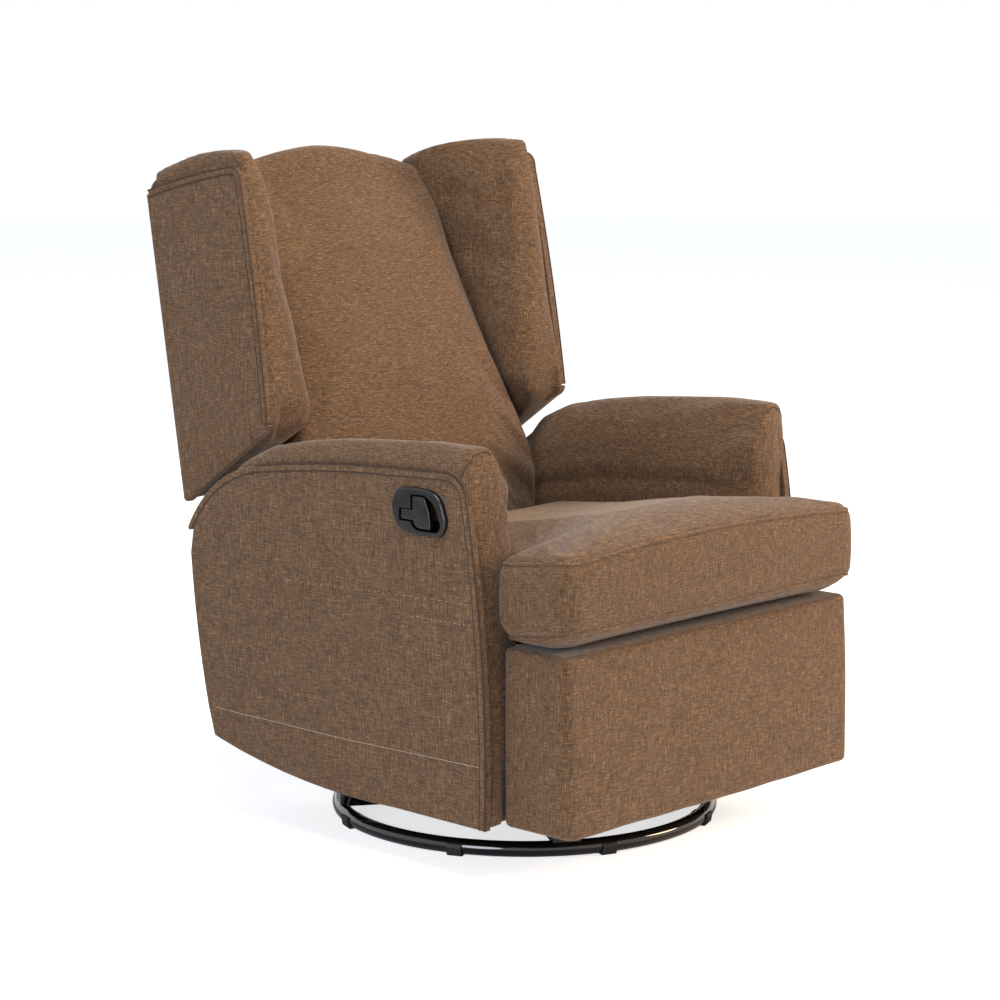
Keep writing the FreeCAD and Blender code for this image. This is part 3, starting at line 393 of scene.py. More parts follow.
def rounded(bm, edges, offset, segments):
    """Rounds edges with so many flats."""
    bmesh.ops.bevel(bm, geom=edges, offset=offset, affect="EDGES", segments=segments, profile=0.5,
                    material=-1)


def sliced(bm, axis, level):
    """Cuts every face along a plane square to an axis, so that it can bend there."""
    point, normal = Vector(), Vector()
    point[axis], normal[axis] = level, 1
    bmesh.ops.bisect_plane(bm, geom=bm.verts[:] + bm.edges[:] + bm.faces[:], dist=1e-6, plane_co=point,
                           plane_no=normal)


def raised(bm, faces, height):
    """Gives flat faces a thickness."""
    grown = bmesh.ops.extrude_face_region(bm, geom=faces)["geom"]
    corners = [g for g in grown if isinstance(g, bmesh.types.BMVert)]
    bmesh.ops.translate(bm, verts=corners, vec=(0, 0, height))
    bmesh.ops.recalc_face_normals(bm, faces=bm.faces)


def collar(outer, inner, low, high, edge):
    """A ring between two outlines, with its outer front edge rounded."""
    bm = bmesh.new()
    bmesh.ops.bridge_loops(bm, edges=loop_edges(bm, outer, low) + loop_edges(bm, inner, low))
    raised(bm, bm.faces[:], high - low)
    if edge:
        path = np.array(outer)
        front = [e for e in bm.edges if all(abs(v.co.z - high) < 1e-7 for v in e.verts)
                 and max(distance_to_path(np.array([v.co.xy[:] for v in e.verts]), path, True)) < 1e-6]
        rounded(bm, front, edge, 4)
    return bm


def cut_out(obj, outline, matrix, low, high):
    """Cuts an outline through a piece."""
    bm = bmesh.new()
    bmesh.ops.edgeloop_fill(bm, edges=loop_edges(bm, outline, low))
    raised(bm, bm.faces[:], high - low)
    bm.transform(matrix)
    bmesh.ops.recalc_face_normals(bm, faces=bm.faces)
    tool = piece("cutter", bm, CHENILLE)
    cut = obj.modifiers.new("cut", "BOOLEAN")
    cut.operation = "DIFFERENCE"
    cut.object = tool
    settled(obj)
    bpy.data.objects.remove(tool)


def slab(name, outline, matrix, low, high, finish, edge=2.5 * MM, dome=0.0, cell=0.0):
    """A flat covered panel: outline in its own plane, from low to high outwards, with rolled outer edges."""
    bm = bmesh.new()
    bmesh.ops.edgeloop_fill(bm, edges=loop_edges(bm, outline, low))
    raised(bm, bm.faces[:], high - low)
    rims = [e for e in bm.edges if all(abs(v.co.z - high) < 1e-7 for v in e.verts)]
    rounded(bm, rims, edge, 3)
    if cell:
        for axis in (0, 1):
            places = [v.co[axis] for v in bm.verts]
            for i in range(1, int((max(places) - min(places)) / cell) + 1):
                sliced(bm, axis, min(places) + i * cell)
    if dome:
        path = np.array(outline)
        for v in bm.verts:
            if v.co.z > high - 1e-6:
                reach = distance_to_path(np.array([[v.co.x, v.co.y]]), path, True)[0]
                v.co.z += dome * (1 - math.exp(-reach / 0.045))
    bm.transform(matrix)
    bmesh.ops.recalc_face_normals(bm, faces=bm.faces)
    obj = piece(name, bm, finish)
    obj.data.set_sharp_from_angle(angle=math.radians(50))
    return obj


def distance_to_path(points, path, closed=False):
    """Distance of each point to a polyline."""
    ends = np.roll(path, -1, axis=0) if closed else path[1:]
    starts = path if closed else path[:-1]
    best = np.full(len(points), np.inf)
    for a, b in zip(starts, ends):
        along = b - a
        share = np.clip((points - a) @ along / max(along @ along, 1e-12), 0, 1)
        best = np.minimum(best, np.linalg.norm(points - a - share[:, None] * along, axis=1))
    return best


def tube(name, path, radius, finish, closed=False):
    """A round cord along points, made a mesh."""
    curve = bpy.data.curves.new(name, "CURVE")
    curve.dimensions = "3D"
    curve.bevel_depth = radius
    curve.bevel_resolution = 2
    curve.use_fill_caps = True
    line = curve.splines.new("POLY")
    line.points.add(len(path) - 1)
    for point, place in zip(line.points, path):
        point.co = (*place, 1)
    line.use_cyclic_u = closed
    holder = bpy.data.objects.new(name + "_line", curve)
    bpy.context.scene.collection.objects.link(holder)
    graph = bpy.context.evaluated_depsgraph_get()
    mesh = bpy.data.meshes.new_from_object(holder.evaluated_get(graph))
    bpy.data.objects.remove(holder)
    bpy.data.curves.remove(curve)
    obj = bpy.data.objects.new(name, mesh)
    bpy.context.scene.collection.objects.link(obj)
    mesh.materials.clear()
    mesh.materials.append(finish)
    mesh.shade_smooth()
    return obj


def joined(name, objects):
    """One piece out of several."""
    bm = bmesh.new()
    for obj in objects:
        bm.from_mesh(obj.data)
        finish = obj.data.materials[0]
        bpy.data.objects.remove(obj)
    return piece(name, bm, finish)


# Padding

def coordinates(obj):
    places = np.empty(len(obj.data.vertices) * 3)
    obj.data.vertices.foreach_get("co", places)
    return places.reshape(-1, 3)


def normals(obj):
    turns = np.empty(len(obj.data.vertices) * 3)
    obj.data.vertices.foreach_get("normal", turns)
    return turns.reshape(-1, 3)


def move_to(obj, places):
    obj.data.vertices.foreach_set("co", np.ascontiguousarray(places, dtype=np.float32).ravel())
    obj.data.update()


def remeshed(name, nodes, voxel, relax):
    """Copies solids of the model, merges them into one skin of even quads and softens their edges."""
    bm = bmesh.new()
    for source in nodes:
        bm.from_mesh(NODES[source].data)
    bmesh.ops.remove_doubles(bm, verts=bm.verts, dist=1e-5)
    obj = piece(name, bm, CHENILLE)
    grid = obj.modifiers.new("skin", "REMESH")
    grid.mode = "VOXEL"
    grid.voxel_size = voxel
    settled(obj)
    bm = bmesh.new()
    bm.from_mesh(obj.data)
    islands = []
    left = set(bm.verts)
    while left:
        seed = left.pop()
        group, edge = {seed}, [seed]
        while edge:
            for link in edge.pop().link_edges:
                for v in link.verts:
                    if v in left:
                        left.remove(v)
                        group.add(v)
                        edge.append(v)
        islands.append(group)
    largest = max(islands, key=len)
    bmesh.ops.delete(bm, geom=[v for v in bm.verts if v not in largest], context="VERTS")
    for _ in range(relax):
        bmesh.ops.smooth_vert(bm, verts=bm.verts, factor=0.5, use_axis_x=True, use_axis_y=True,
                              use_axis_z=True)
    bm.to_mesh(obj.data)
    bm.free()
    obj.data.shade_smooth()
    return obj


def snapped(path, obj, lift=0.0):
    """Puts the points of a seam on the surface of a piece."""
    tree = BVHTree.FromObject(obj, bpy.context.evaluated_depsgraph_get())
    found = []
    for point in path:
        place, normal, _, _ = tree.find_nearest(point)
        found.append(place + normal * lift)
    return found


def inflated(obj, held, pressure=4.0, cap=0.024, slack=0.02, frames=20):
    """Blows the cover up with cloth under pressure; held is a weight from 0, free, to 1, fixed."""
    group = obj.vertex_groups.new(name="held")
    for level in (0.25, 0.5, 0.75, 1.0):
        chosen = np.nonzero((held > level - 0.125) & (held <= level + 0.125))[0]
        if len(chosen):
            group.add(chosen.tolist(), level, "REPLACE")
    start = coordinates(obj)
    cloth = obj.modifiers.new("padding", "CLOTH")
    rules = cloth.settings
    rules.quality = 4
    rules.mass = 0.3
    rules.tension_stiffness = 12
    rules.compression_stiffness = 12
    rules.shear_stiffness = 5
    rules.bending_stiffness = 0.6
    rules.use_pressure = True
    rules.uniform_pressure_force = pressure
    rules.shrink_min = -slack
    rules.vertex_group_mass = "held"
    rules.effector_weights.gravity = 0
    cloth.collision_settings.use_collision = False
    cloth.collision_settings.use_self_collision = False
    cloth.point_cache.frame_start = 1
    cloth.point_cache.frame_end = frames
    for step in range(1, frames + 1):
        bpy.context.scene.frame_set(step)
    settled(obj)
    bpy.context.scene.frame_set(1)
    shift = coordinates(obj) - start
    length = np.linalg.norm(shift, axis=1, keepdims=True)
    move_to(obj, start + shift * np.minimum(1, cap / np.maximum(length, 1e-9)))
    obj.vertex_groups.clear()
    return obj


def padded_form(name, nodes, seams=(), hold=None, voxel=VOXEL, relax=5, start_in=0.003, crown=None,
                **force):
    """A stuffed cover made from solids of the model: remeshed, blown up between its seams and smoothed."""
    obj = remeshed(name, nodes, voxel, relax)
    if crown:
        move_to(obj, crown(coordinates(obj)))
    move_to(obj, coordinates(obj) - normals(obj) * start_in)
    places = coordinates(obj)
    held = np.zeros(len(places))
    lines = [snapped(path, obj) for path in seams]
    for line in lines:
        reach = distance_to_path(places, np.array(line))
        held = np.maximum(held, np.clip(1.5 - reach / (voxel * 1.1), 0, 1))
    if hold:
        held = np.maximum(held, hold(places))
    inflated(obj, held, **force)
    for line in lines:
        press_seam(obj, line, 1.6 * MM, 9 * MM)
    finish = obj.modifiers.new("smooth", "SUBSURF")
    finish.levels = finish.render_levels = 1
    settled(obj)
    return obj, lines


def press_seam(obj, line, depth, wide):
    """Pulls the cover in along a seam."""
    places = coordinates(obj)
    reach = distance_to_path(places, np.array(line))
    move_to(obj, places - normals(obj) * (depth * np.exp(-(reach / wide) ** 2))[:, None])


def puckered(obj, line, deep, wide, wave):
    """Small puckers square to a seam, strongest beside it."""
    places = coordinates(obj)
    reach = distance_to_path(places, np.array(line))
    near = np.nonzero(reach < 3 * wide)[0]
    turns = normals(obj)
    for i in near:
        ripple = noise.noise(Vector(places[i]) / wave)
        places[i] += turns[i] * deep * ripple * math.exp(-(reach[i] / wide) ** 2)
    move_to(obj, places)


# Seat cushion

def cushion_plan():
    """T-shaped plan of the cushion's seams."""
    return trace(
        (268, 172), (268, -269), (330, -271), ((336, -273), (338, -279)), ((340, -336), (338, -377)),
        ((330.4, -395.4), (312, -403)), ((0, -409), (-312, -403)), ((-330.4, -395.4), (-338, -377)),
        ((-340, -336), (-338, -279)), ((-336, -273), (-330, -271)), (-268, -269), (-268, 172), (268, 172),
        steps=24)


def cushion_wave(x, y):
    """How far the front of the cushion's cover stands above its corners."""
    near_front = max(0.0, min(1.0, (-y - 0.1) / 0.25))
    return near_front * 0.014 * max(0.0, 1 - (x / 0.31) ** 2)


def upper_seam():
    return [(x, y, 0.4975 - CUSHION_PITCH * (y + 0.403) + cushion_wave(x, y)) for x, y in cushion_plan()]


def lower_seam():
    """The lower seam drops along the ears and runs under the seat behind them."""
    return [(x, y, 0.390 - 0.21 * max(0.0, min(y, -0.27) + 0.39)) for x, y in cushion_plan()]


def cushion_crown(places):
    moved = places.copy()
    share = np.clip((places[:, 2] - 0.40) / 0.09, 0, 1)
    moved[:, 2] += share * np.array([cushion_wave(x, y) for x, y, _ in places])
    ears = np.clip((np.abs(places[:, 0]) - 0.275) / 0.05, 0, 1)
    moved[:, 0] += np.sign(places[:, 0]) * 0.008 * ears
    moved[:, 1] += 0.008 * ears * np.clip((places[:, 1] + 0.33) / 0.06, 0, 1)
    return moved


def make_seat_cushion():
    """Boxed T-cushion with a turned seam above and below its border."""
    upper, lower = (evened(seam(), 0.006) for seam in (upper_seam, lower_seam))
    obj, lines = padded_form("seat_cushion_cover", ["seat_cushion"], [upper, lower], crown=cushion_crown,
                             start_in=0.0, relax=2, voxel=0.006, pressure=2.4, cap=0.013, slack=0.0)
    for line in lines:
        puckered(obj, line, 1.1 * MM, 0.020, 0.024)
    cords = [tube(f"cushion_seam_{i}", snapped(line, obj, 0.6 * MM), 2.4 * MM, CHENILLE, closed=True)
             for i, line in enumerate(lines)]
    seam = joined("seat_cushion_seams", cords)
    for made in (obj, seam):
        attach(made, "chair")
    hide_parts("seat_cushion")


def make_seat_deck():
    """Thin pad under the cushion, covered in black cloth."""
    low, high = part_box("seat_deck")
    bm = bmesh.new()
    bmesh.ops.create_cube(bm, size=1, matrix=Matrix.LocRotScale((low + high) / 2, None, high - low))
    rounded(bm, bm.edges[:], 9 * MM, 4)
    obj = piece("seat_deck_cover", bm, DECK)
    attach(obj, "chair")
    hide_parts("seat_deck")


# Footrest

def make_footrest():
    """Boxy footrest: upright front, rounded corners, a cover that wraps the board's edges."""
    low, high = Vector((-0.336, -0.402, 0.0845)), Vector((0.336, -0.268, 0.3565))
    bm = bmesh.new()
    bmesh.ops.create_cube(bm, size=1, matrix=Matrix.LocRotScale((low + high) / 2, None, high - low))
    front = (low.y + high.y) / 2
    upright = [e for e in bm.edges if e.verts[0].co.y < front and e.verts[0].co.xy == e.verts[1].co.xy]
    rounded(bm, upright, 17 * MM, 6)
    rounded(bm, [e for e in bm.edges if e.is_manifold and e.calc_face_angle(0) > 1.2], 9 * MM, 4)
    cell = 12 * MM
    for axis in range(3):
        for i in range(1, int((high[axis] - low[axis]) / cell)):
            sliced(bm, axis, low[axis] + cell * i)
    for v in bm.verts:
        x, y, z = v.co
        up = (z - low.z) / (high.z - low.z)
        front = max(0.0, min(1.0, (-y - 0.268) / 0.134))
        swell = 1 - (x / 0.34) ** 4
        v.co.y += front * (0.009 * up - 0.006 * swell * math.sin(math.pi * min(1, 0.1 + up)))
        v.co.x += math.copysign(0.003 * math.sin(math.pi * up) * front, x) if abs(x) > 0.3 else 0
        v.co.z += 0.0015 * noise.noise(v.co * 14) * front
        v.co.y += 0.0018 * noise.noise(v.co * 9) * front
    obj = piece("footrest_cover", bm, CHENILLE)
    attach(obj, "footrest")
    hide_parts("footrest_pad")


# Arms

ARM_EDGE = drawn_in(trace((387, 458), ((389, 463), (387, 468)), ((336, 530), (232, 580)),
                          ((60, 601), (-80, 609)), (-186, 613.5),
                          ((-217, 603), (-233, 575)), ((-263, 345), (-269, 84)), steps=24), 2.5 * MM)
ARM_REST = trace((-269, 84), (-75, 86), ((120, 92), (314, 126)), (331, 131), (345, 177),
                 ((374, 345), (383, 459)))[1:-1]


def squared_edge(beyond, ahead):
    """How far the outer front edge of a side comes forward to meet its border."""
    return 0.006 * np.clip(beyond / 0.016, 0, 1) * np.clip((ahead + 0.03) / 0.03, 0, 1)


def arm_form(places):
    """Keeps the crest of the arm as high as its cover stands, and its front corners square."""
    moved = places.copy()
    moved[:, 2] += 0.006 * np.clip((places[:, 2] - 0.56) / 0.04, 0, 1)
    front = np.clip((-0.15 - places[:, 1]) / 0.06, 0, 1)
    high = np.clip((places[:, 2] - 0.52) / 0.06, 0, 1)
    moved[:, 1] -= 0.006 * front * high
    across = np.abs(places[:, 0])
    wider = 0.004 * (across > 0.352) - 0.007 * (across < 0.30)
    moved[:, 0] += np.sign(places[:, 0]) * front * high * wider
    edge = np.interp(places[:, 2], (0.084, 0.345, 0.575), (-0.269, -0.263, -0.233))
    moved[:, 1] -= squared_edge(across - 0.348, edge - places[:, 1])
    return moved


# Lines in millimetres on the arm's side, with the length of a stitch and the gap after it

LOW_TACKING = ((322, 178), (20, 176), (-256, 181))
TACKING_ROWS = ((((-120, 389), (-246, 391)), 0.004, 0.006), (((150, 408), (-250, 423)), 0.003, 0.012))
TACKING_THREAD = 0.5 * MM


def panel_stitches(side, matrix):
    """Tacking rows that show through the cover of the arm's side."""
    low = evened([(u * MM, v * MM, 2.4 * MM) for u, v in LOW_TACKING], 0.02)
    rows = [tube("row", [matrix @ p for p in low], TACKING_THREAD, TACKING)]
    for path, long, gap in TACKING_ROWS:
        points = evened([(u * MM, v * MM, 2.6 * MM) for u, v in path], long + gap)
        for here, there in zip(points, points[1:]):
            stitch = [matrix @ here, matrix @ here.lerp(there, long / (long + gap))]
            rows.append(tube("stitch", stitch, TACKING_THREAD, TACKING))
    return joined(f"arm_tacking_{side}", rows)


def arm_hold(places):
    """The cover is stapled to the frame at its outer and inner face and at its foot."""
    across = np.abs(places[:, 0])
    return ((across > 0.362) | (places[:, 2] < 0.11) | (across < 0.281)).astype(float)


def make_arm(side, sign):
    """Padded arm with a plain side panel, a stitched band along its top and front, and the forked seam."""
    fork = [(0.374, -0.218, 0.606), (0.370, -0.226, 0.624), (0.358, -0.236, 0.640), (0.342, -0.242, 0.646),
            (0.322, -0.245, 0.640)]
    seams = [evened([(sign * x, y, z) for x, y, z in fork], 0.005)]
    obj, lines = padded_form(f"arm_cover_{side}", [f"arm_pad_{side}", f"arm_frame_{side}"], seams,
                             hold=arm_hold, relax=3, start_in=0.0, crown=arm_form, voxel=0.006,
                             pressure=2.0, cap=0.007, slack=0.0)
    matrix = side_frame(sign, ARM_FACE)
    inner = even_line(set_in(ARM_EDGE, BAND_WIDE))
    front = [(u, v) for u, v in ARM_EDGE if u < 0.225]
    band = slab(f"arm_band_{side}", ARM_EDGE + inner[::-1], matrix, -12 * MM, 1.2 * MM, CHENILLE, 2.4 * MM)
    panel = slab(f"arm_side_{side}", inner + ARM_REST, matrix, -12 * MM, 0.3 * MM, CHENILLE, 2.0 * MM,
                 dome=2.5 * MM, cell=0.02)
    if side == "right":
        cut_out(panel, grown_outline(BEZEL, -4 * MM), matrix, -30 * MM, 20 * MM)
    # Painted seam shade: dark cords on the forked seam and along the band's edges, standing in for the
    # shadow in their grooves.
    thread = joined(f"arm_seam_shade_{side}", [
        tube("fork", snapped(lines[0], obj, -0.2 * MM), 1.0 * MM, SEAM_SHADE),
        tube("outer", [matrix @ Vector((u, v, 0.2 * MM)) for u, v in front], 1.1 * MM, SEAM_SHADE),
        tube("inner", [matrix @ Vector((u, v, 0.4 * MM)) for u, v in inner], 0.8 * MM, SEAM_SHADE)])
    for made in (obj, band, panel, thread, panel_stitches(side, matrix)):
        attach(made, "chair")
    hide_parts(f"arm_pad_{side}", f"arm_frame_{side}")
    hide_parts(f"arm_panel_{side}")


# Release

BEZEL = trace((-104, 582), ((-132, 584.5), (-160, 583)), ((-181, 573), (-192, 552)),
              ((-195.5, 540), (-192, 526.5)), ((-185, 517), (-170, 515.5)),
              ((-140, 514), (-115, 515.5)), ((-96, 524), (-87, 541)), ((-84.5, 553), (-89, 567)),
              ((-94, 577.5), (-104, 582)), steps=10)[:-1]
OPENING = trace((-101, 533), (-101, 552), (-125, 552), (-125, 574), (-152, 575),
                ((-173, 562), (-184, 540)), ((-184, 526), (-172, 521)), (-142, 521),
                ((-132, 524), (-125, 533)), (-101, 533), steps=8)[:-1]
PADDLE = trace((-103.5, 534.6), (-103.5, 550.4), (-127, 550.4), (-127, 569),
               ((-128, 571), (-130, 571.5)), (-148, 572), ((-151, 571), (-153, 568)), (-161, 550),
               (-164, 528), ((-163, 524.5), (-159, 523.5)), (-141, 523.5),
               ((-134, 526), (-128, 534.6)), (-103.5, 534.6), steps=5)[:-1]
BEZEL_POINTS = 96


def grown_outline(outline, distance):
    """A closed outline moved outwards by a distance."""
    closed = [outline[-1], *outline, outline[0]]
    turning = sum(a[0] * b[1] - b[0] * a[1] for a, b in zip(outline, outline[1:] + outline[:1]))
    return set_in(closed, -distance if turning > 0 else distance)[1:-1]


def matched(path, count):
    """The same closed outline with a given number of even points, from its rightmost one."""
    first = max(range(len(path)), key=lambda i: path[i][0])
    around = [Vector((*p, 0)) for p in path[first:] + path[:first]]
    length = sum((a - b).length for a, b in zip(around, around[1:] + around[:1]))
    return [(p.x, p.y) for p in evened(around, length / count, closed=True)]


def make_release():
    """Moulded bezel with its finger cup, and the T-shaped paddle in it."""
    matrix = side_frame(-1, ARM_FACE)
    outer, opening = matched(BEZEL, BEZEL_POINTS), matched(OPENING, BEZEL_POINTS)
    cup = matched(grown_outline(OPENING, 1.6 * MM), BEZEL_POINTS)
    parts = []
    for name, bm in (("rim", collar(outer, opening, -1 * MM, 9 * MM, 3.2 * MM)),
                     ("wall", collar(cup, opening, -21 * MM, 1 * MM, 0))):
        bm.transform(matrix)
        bmesh.ops.recalc_face_normals(bm, faces=bm.faces)
        parts.append(piece(f"bezel_{name}", bm, ABS))
    floor = grown_outline(OPENING, 1 * MM)
    parts.append(slab("bezel_floor", floor, matrix, -22 * MM, -20 * MM, ABS, 0.4 * MM))
    bezel = joined("bezel_moulding", parts)
    bezel.data.set_sharp_from_angle(angle=math.radians(40))
    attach(bezel, "chair")
    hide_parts("release_bezel")
    paddle = slab("paddle_moulding", PADDLE, matrix, 1.5 * MM, 7.5 * MM, ABS, 1.3 * MM)
    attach(paddle, "release")
    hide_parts("release_paddle")


# Back and wings

WING_EDGE = drawn_in(trace((512, 994), ((409, 1021), (318, 1038)), ((297, 1034), (287, 1012)),
                           ((251, 829), (224, 642)), steps=24), 3 * MM)
WING_REST = trace((224, 642), ((228, 630), (241, 620)), (413, 500), ((421, 499), (425, 506)), (515, 985),
                  (512, 994))[1:-1]


def crown_arch(places):
    """Draws the top of the back into one low arch."""
    across = np.abs(places[:, 0])
    plain = np.interp(across, (0.128, 0.202, 0.240), (1.050, 1.030, 1.000))
    arch = 1.055 - 0.045 * (across / 0.242) ** 1.6
    moved = places.copy()
    moved[:, 2] += np.clip((places[:, 2] - 0.88) / 0.12, 0, 1) * (arch - plain)
    return moved


def back_hold(places):
    """The cover is half held along the wings and pulled tight over the crown."""
    beside = (np.abs(places[:, 0]) > 0.255) * 0.5
    return np.maximum(beside, np.clip((places[:, 2] - 0.96) / 0.06, 0, 1))


def make_back():
    """Plain centre back, full at the waist and thin at the crown."""
    obj, _ = padded_form("back_cushion_cover", ["back_cushion"], start_in=0.001, pressure=1.6, cap=0.010,
                         relax=6, slack=0.0, hold=back_hold, crown=crown_arch)
    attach(obj, "back")
    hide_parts("back_cushion")


def wing_form(places):
    """Widens the top of a wing towards the middle and lifts it."""
    across = np.abs(places[:, 0])
    inner = np.clip((0.334 - across) / 0.03, 0, 1)
    reach = np.interp(places[:, 2], (0.86, 0.966, 1.007, 1.056), (0, 0.017, 0.025, 0.030))
    moved = places.copy()
    moved[:, 0] -= np.sign(places[:, 0]) * inner * reach
    moved[:, 2] += 0.009 * np.clip((places[:, 2] - 0.97) / 0.05, 0, 1)
    edge = np.interp(places[:, 2], (0.642, 0.829, 1.012), (0.224, 0.251, 0.287))
    moved[:, 1] -= squared_edge(across - 0.318, edge - places[:, 1])
    return moved


def wing_hold(places):
    """The cover is stapled along the wing's outer face."""
    face = WING_FACE - (places[:, 2] - WING_LOW) * math.tan(WING_LEAN)
    return (np.abs(places[:, 0]) > face - 0.012).astype(float)


def make_wing(side, sign):
    """Padded wing with a plain side panel, a stitched band and the forked seam at its top."""
    fork = [(0.340, 0.290, 1.022), (0.338, 0.296, 1.036), (0.334, 0.306, 1.044), (0.326, 0.318, 1.052),
            (0.318, 0.330, 1.052)]
    seams = [evened([(sign * x, y, z) for x, y, z in fork], 0.005)]
    obj, lines = padded_form(f"wing_cover_{side}", [f"wing_pad_{side}"], seams, hold=wing_hold, relax=4,
                             start_in=0.001, pressure=1.5, cap=0.006, slack=0.0, voxel=0.006,
                             crown=wing_form)
    matrix = side_frame(sign, WING_FACE, WING_LEAN, WING_LOW)
    inner = even_line(set_in(WING_EDGE, BAND_WIDE))
    band = slab(f"wing_band_{side}", WING_EDGE + inner[::-1], matrix, -12 * MM, 1.2 * MM, CHENILLE,
                2.4 * MM)
    panel = slab(f"wing_side_{side}", inner + WING_REST, matrix, -12 * MM, 0.3 * MM, CHENILLE, 2.0 * MM,
                 dome=2.5 * MM, cell=0.02)
    # Painted seam shade: dark cords on the forked seam and along the band's edges, standing in for the
    # shadow in their grooves.
    thread = joined(f"wing_seam_shade_{side}", [
        tube("fork", snapped(lines[0], obj, -0.2 * MM), 1.0 * MM, SEAM_SHADE),
        tube("outer", [matrix @ Vector((u, v, 0.6 * MM)) for u, v in WING_EDGE], 1.2 * MM, SEAM_SHADE),
        tube("inner", [matrix @ Vector((u, v, 0.4 * MM)) for u, v in inner], 0.8 * MM, SEAM_SHADE)])
    for made in (obj, band, panel, thread):
        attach(made, "back")
    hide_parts(f"wing_pad_{side}")
    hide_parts(f"wing_panel_{side}")


def make_outside_back():
    """Plain outside back with rolled edges, and the apron below it."""
    up = 1 / math.cos(BACK_LEAN)
    foot, step, high = (274 - 504) * up, (506 - 504) * up, (1000 - 504) * up
    outline = trace((-270, foot), (270, foot), (270, step), (344, step), (332, high - 14),
                    ((325, high), (296, high + 10)), ((0, high + 26), (-296, high + 10)),
                    ((-325, high), (-332, high - 14)), (-344, step), (-270, step), (-270, foot))[:-1]
    obj = slab("outside_back", outline, back_frame_matrix(), -5.5 * MM, 0.5 * MM, CHENILLE, 3 * MM,
               dome=3 * MM, cell=0.03)
    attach(obj, "back")
    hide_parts("back_cover")
    bm = bmesh.new()
    bm.from_mesh(NODES["rear_apron"].data)
    bmesh.ops.remove_doubles(bm, verts=bm.verts, dist=1e-5)
    bmesh.ops.dissolve_limit(bm, angle_limit=math.radians(3), verts=bm.verts, edges=bm.edges)
    rounded(bm, [e for e in bm.edges if e.calc_face_angle(0) > 0.6], 4 * MM, 3)
    apron = piece("apron_cover", bm, CHENILLE)
    apron.data.set_sharp_from_angle(angle=math.radians(50))
    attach(apron, "chair")
    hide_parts("rear_apron")


# Ring

def make_ring():
    """Bent tube ring with its butt weld dressed smooth."""
    upright = Matrix.Translation((RING_RADIUS, 0, RING_LEVEL)) @ Matrix.Rotation(math.pi / 2, 4, "X")
    bm = bmesh.new()
    bmesh.ops.create_circle(bm, radius=RING_TUBE, segments=24, matrix=upright)
    bmesh.ops.spin(bm, geom=bm.verts[:] + bm.edges[:], cent=(0, 0, 0), axis=(0, 0, 1), angle=math.tau,
                   steps=160, use_merge=True)
    bmesh.ops.remove_doubles(bm, verts=bm.verts, dist=1e-5)
    bmesh.ops.recalc_face_normals(bm, faces=bm.faces)
    obj = piece("ring_tube", bm, ENAMEL)
    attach(obj, "base")
    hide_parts("base_ring")


# Studio

CAMERA_PLACE = Vector((-3.442, -3.182, 1.274))
CAMERA_AIM = Vector((0, 0.039, 0.4066))
FOCAL_PIXELS = 2970.8
MIDDLE_PIXEL = (507.05, 557.63)
PICTURE = 1000
SENSOR = 36.0


def make_camera():
    lens = bpy.data.cameras.new("camera")
    lens.sensor_width = SENSOR
    lens.lens = FOCAL_PIXELS / PICTURE * SENSOR
    lens.shift_x = 0.5 - MIDDLE_PIXEL[0] / PICTURE
    lens.shift_y = MIDDLE_PIXEL[1] / PICTURE - 0.5
    camera = bpy.data.objects.new("camera", lens)
    camera.location = CAMERA_PLACE
    camera.rotation_euler = (CAMERA_AIM - CAMERA_PLACE).to_track_quat("-Z", "Y").to_euler()
    bpy.context.scene.collection.objects.link(camera)
    bpy.context.scene.camera = camera


def soft_box(name, place, aim, wide, power, colour):
    lamp = bpy.data.lights.new(name, "AREA")
    lamp.shape = "DISK"
    lamp.size = wide
    lamp.energy = power
    lamp.color = linear(colour)[:3]
    box = bpy.data.objects.new(name, lamp)
    box.location = place
    box.rotation_euler = (Vector(aim) - Vector(place)).to_track_quat("-Z", "Y").to_euler()
    bpy.context.scene.collection.objects.link(box)


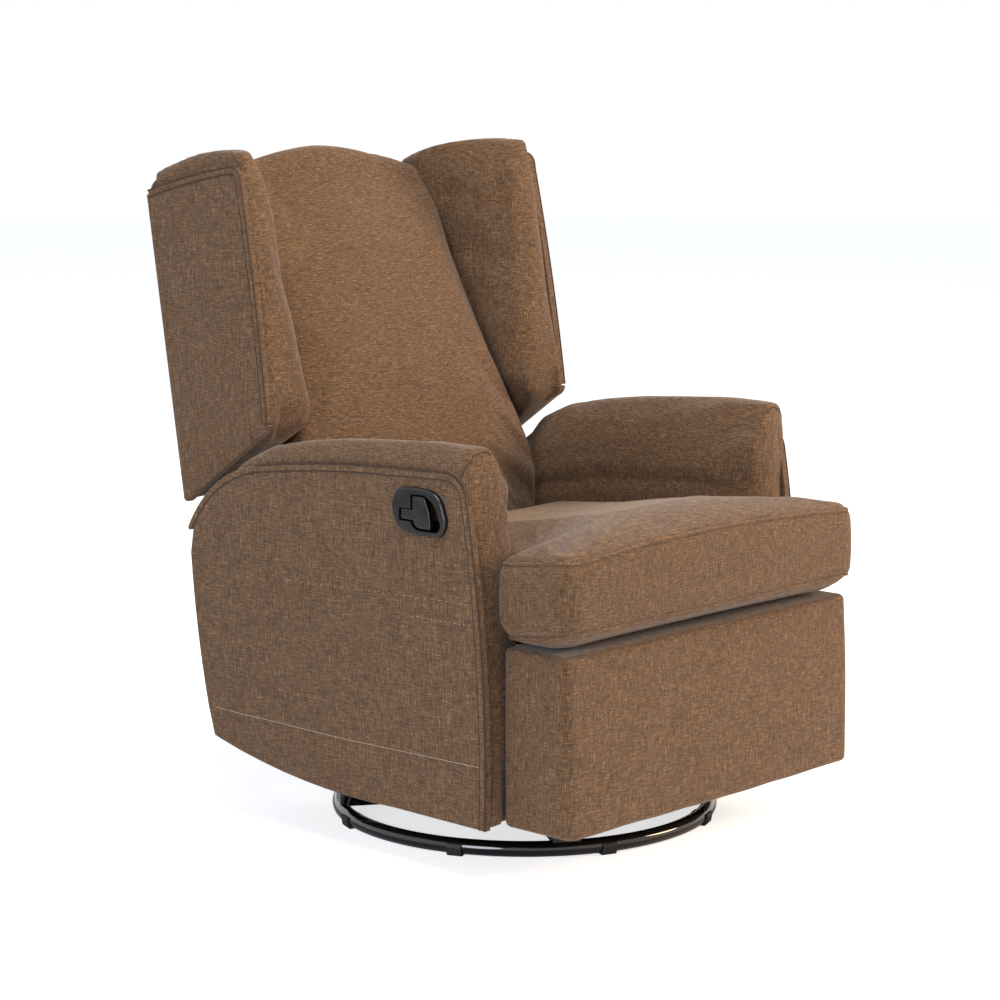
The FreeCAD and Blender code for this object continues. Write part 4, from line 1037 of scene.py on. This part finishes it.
def make_studio():
    """White floor, a pale sky that reads white in the picture, a warm key and a cool fill."""
    world = bpy.data.worlds.new("studio")
    bpy.context.scene.world = world
    world.use_nodes = True
    tree = world.node_tree
    tree.nodes.clear()
    path = node(tree, "ShaderNodeLightPath")
    seen = node(tree, "ShaderNodeMath", {"operation": "MAXIMUM"},
                {0: path.outputs["Is Camera Ray"], 1: path.outputs["Is Glossy Ray"]})
    fill = node(tree, "ShaderNodeBackground", {"Strength": 0.36, "Color": "#E9F2FF"})
    white = node(tree, "ShaderNodeBackground", {"Strength": 1.0, "Color": "#FFFFFF"})
    both = node(tree, "ShaderNodeMixShader", links={0: seen, 1: fill, 2: white})
    node(tree, "ShaderNodeOutputWorld", links={"Surface": both})

    bm = bmesh.new()
    bmesh.ops.create_circle(bm, cap_ends=True, segments=64, radius=14)
    paint = bpy.data.materials.new("floor_paint")
    paint.use_nodes = True
    tree = paint.node_tree
    tree.nodes.clear()
    path = node(tree, "ShaderNodeLightPath")
    lit = node(tree, "ShaderNodeMath", {"operation": "MULTIPLY", 1: 0.69},
               {0: path.outputs["Is Camera Ray"]})
    glow = node(tree, "ShaderNodeEmission", {"Color": (1, 1, 1, 1)}, {"Strength": lit})
    diffuse = node(tree, "ShaderNodeBsdfDiffuse", {"Color": (0.92, 0.92, 0.92, 1)})
    both = node(tree, "ShaderNodeAddShader", links={0: diffuse, 1: glow})
    node(tree, "ShaderNodeOutputMaterial", links={"Surface": both})
    floor = piece("floor", bm, paint)

    soft_box("key", (3.0, -3.1, 2.1), (0, 0, 0.4), 2.0, 195, "#FFDDB4")
    soft_box("side", (-4.5, -1.3, 1.2), (0, 0, 0.4), 2.4, 118, "#ECF2FF")
    soft_box("top", (-0.6, -0.9, 3.9), (0, -0.2, 0.4), 2.2, 120, "#FFF4E4")
    bpy.context.scene.view_settings.view_transform = "Standard"


dress_frame()
make_camera()
make_studio()
make_ring()
make_seat_cushion()
make_seat_deck()
make_footrest()
make_release()
for side_name, side_sign in SIDES:
    make_arm(side_name, side_sign)
    make_wing(side_name, side_sign)
make_back()
make_outside_back()
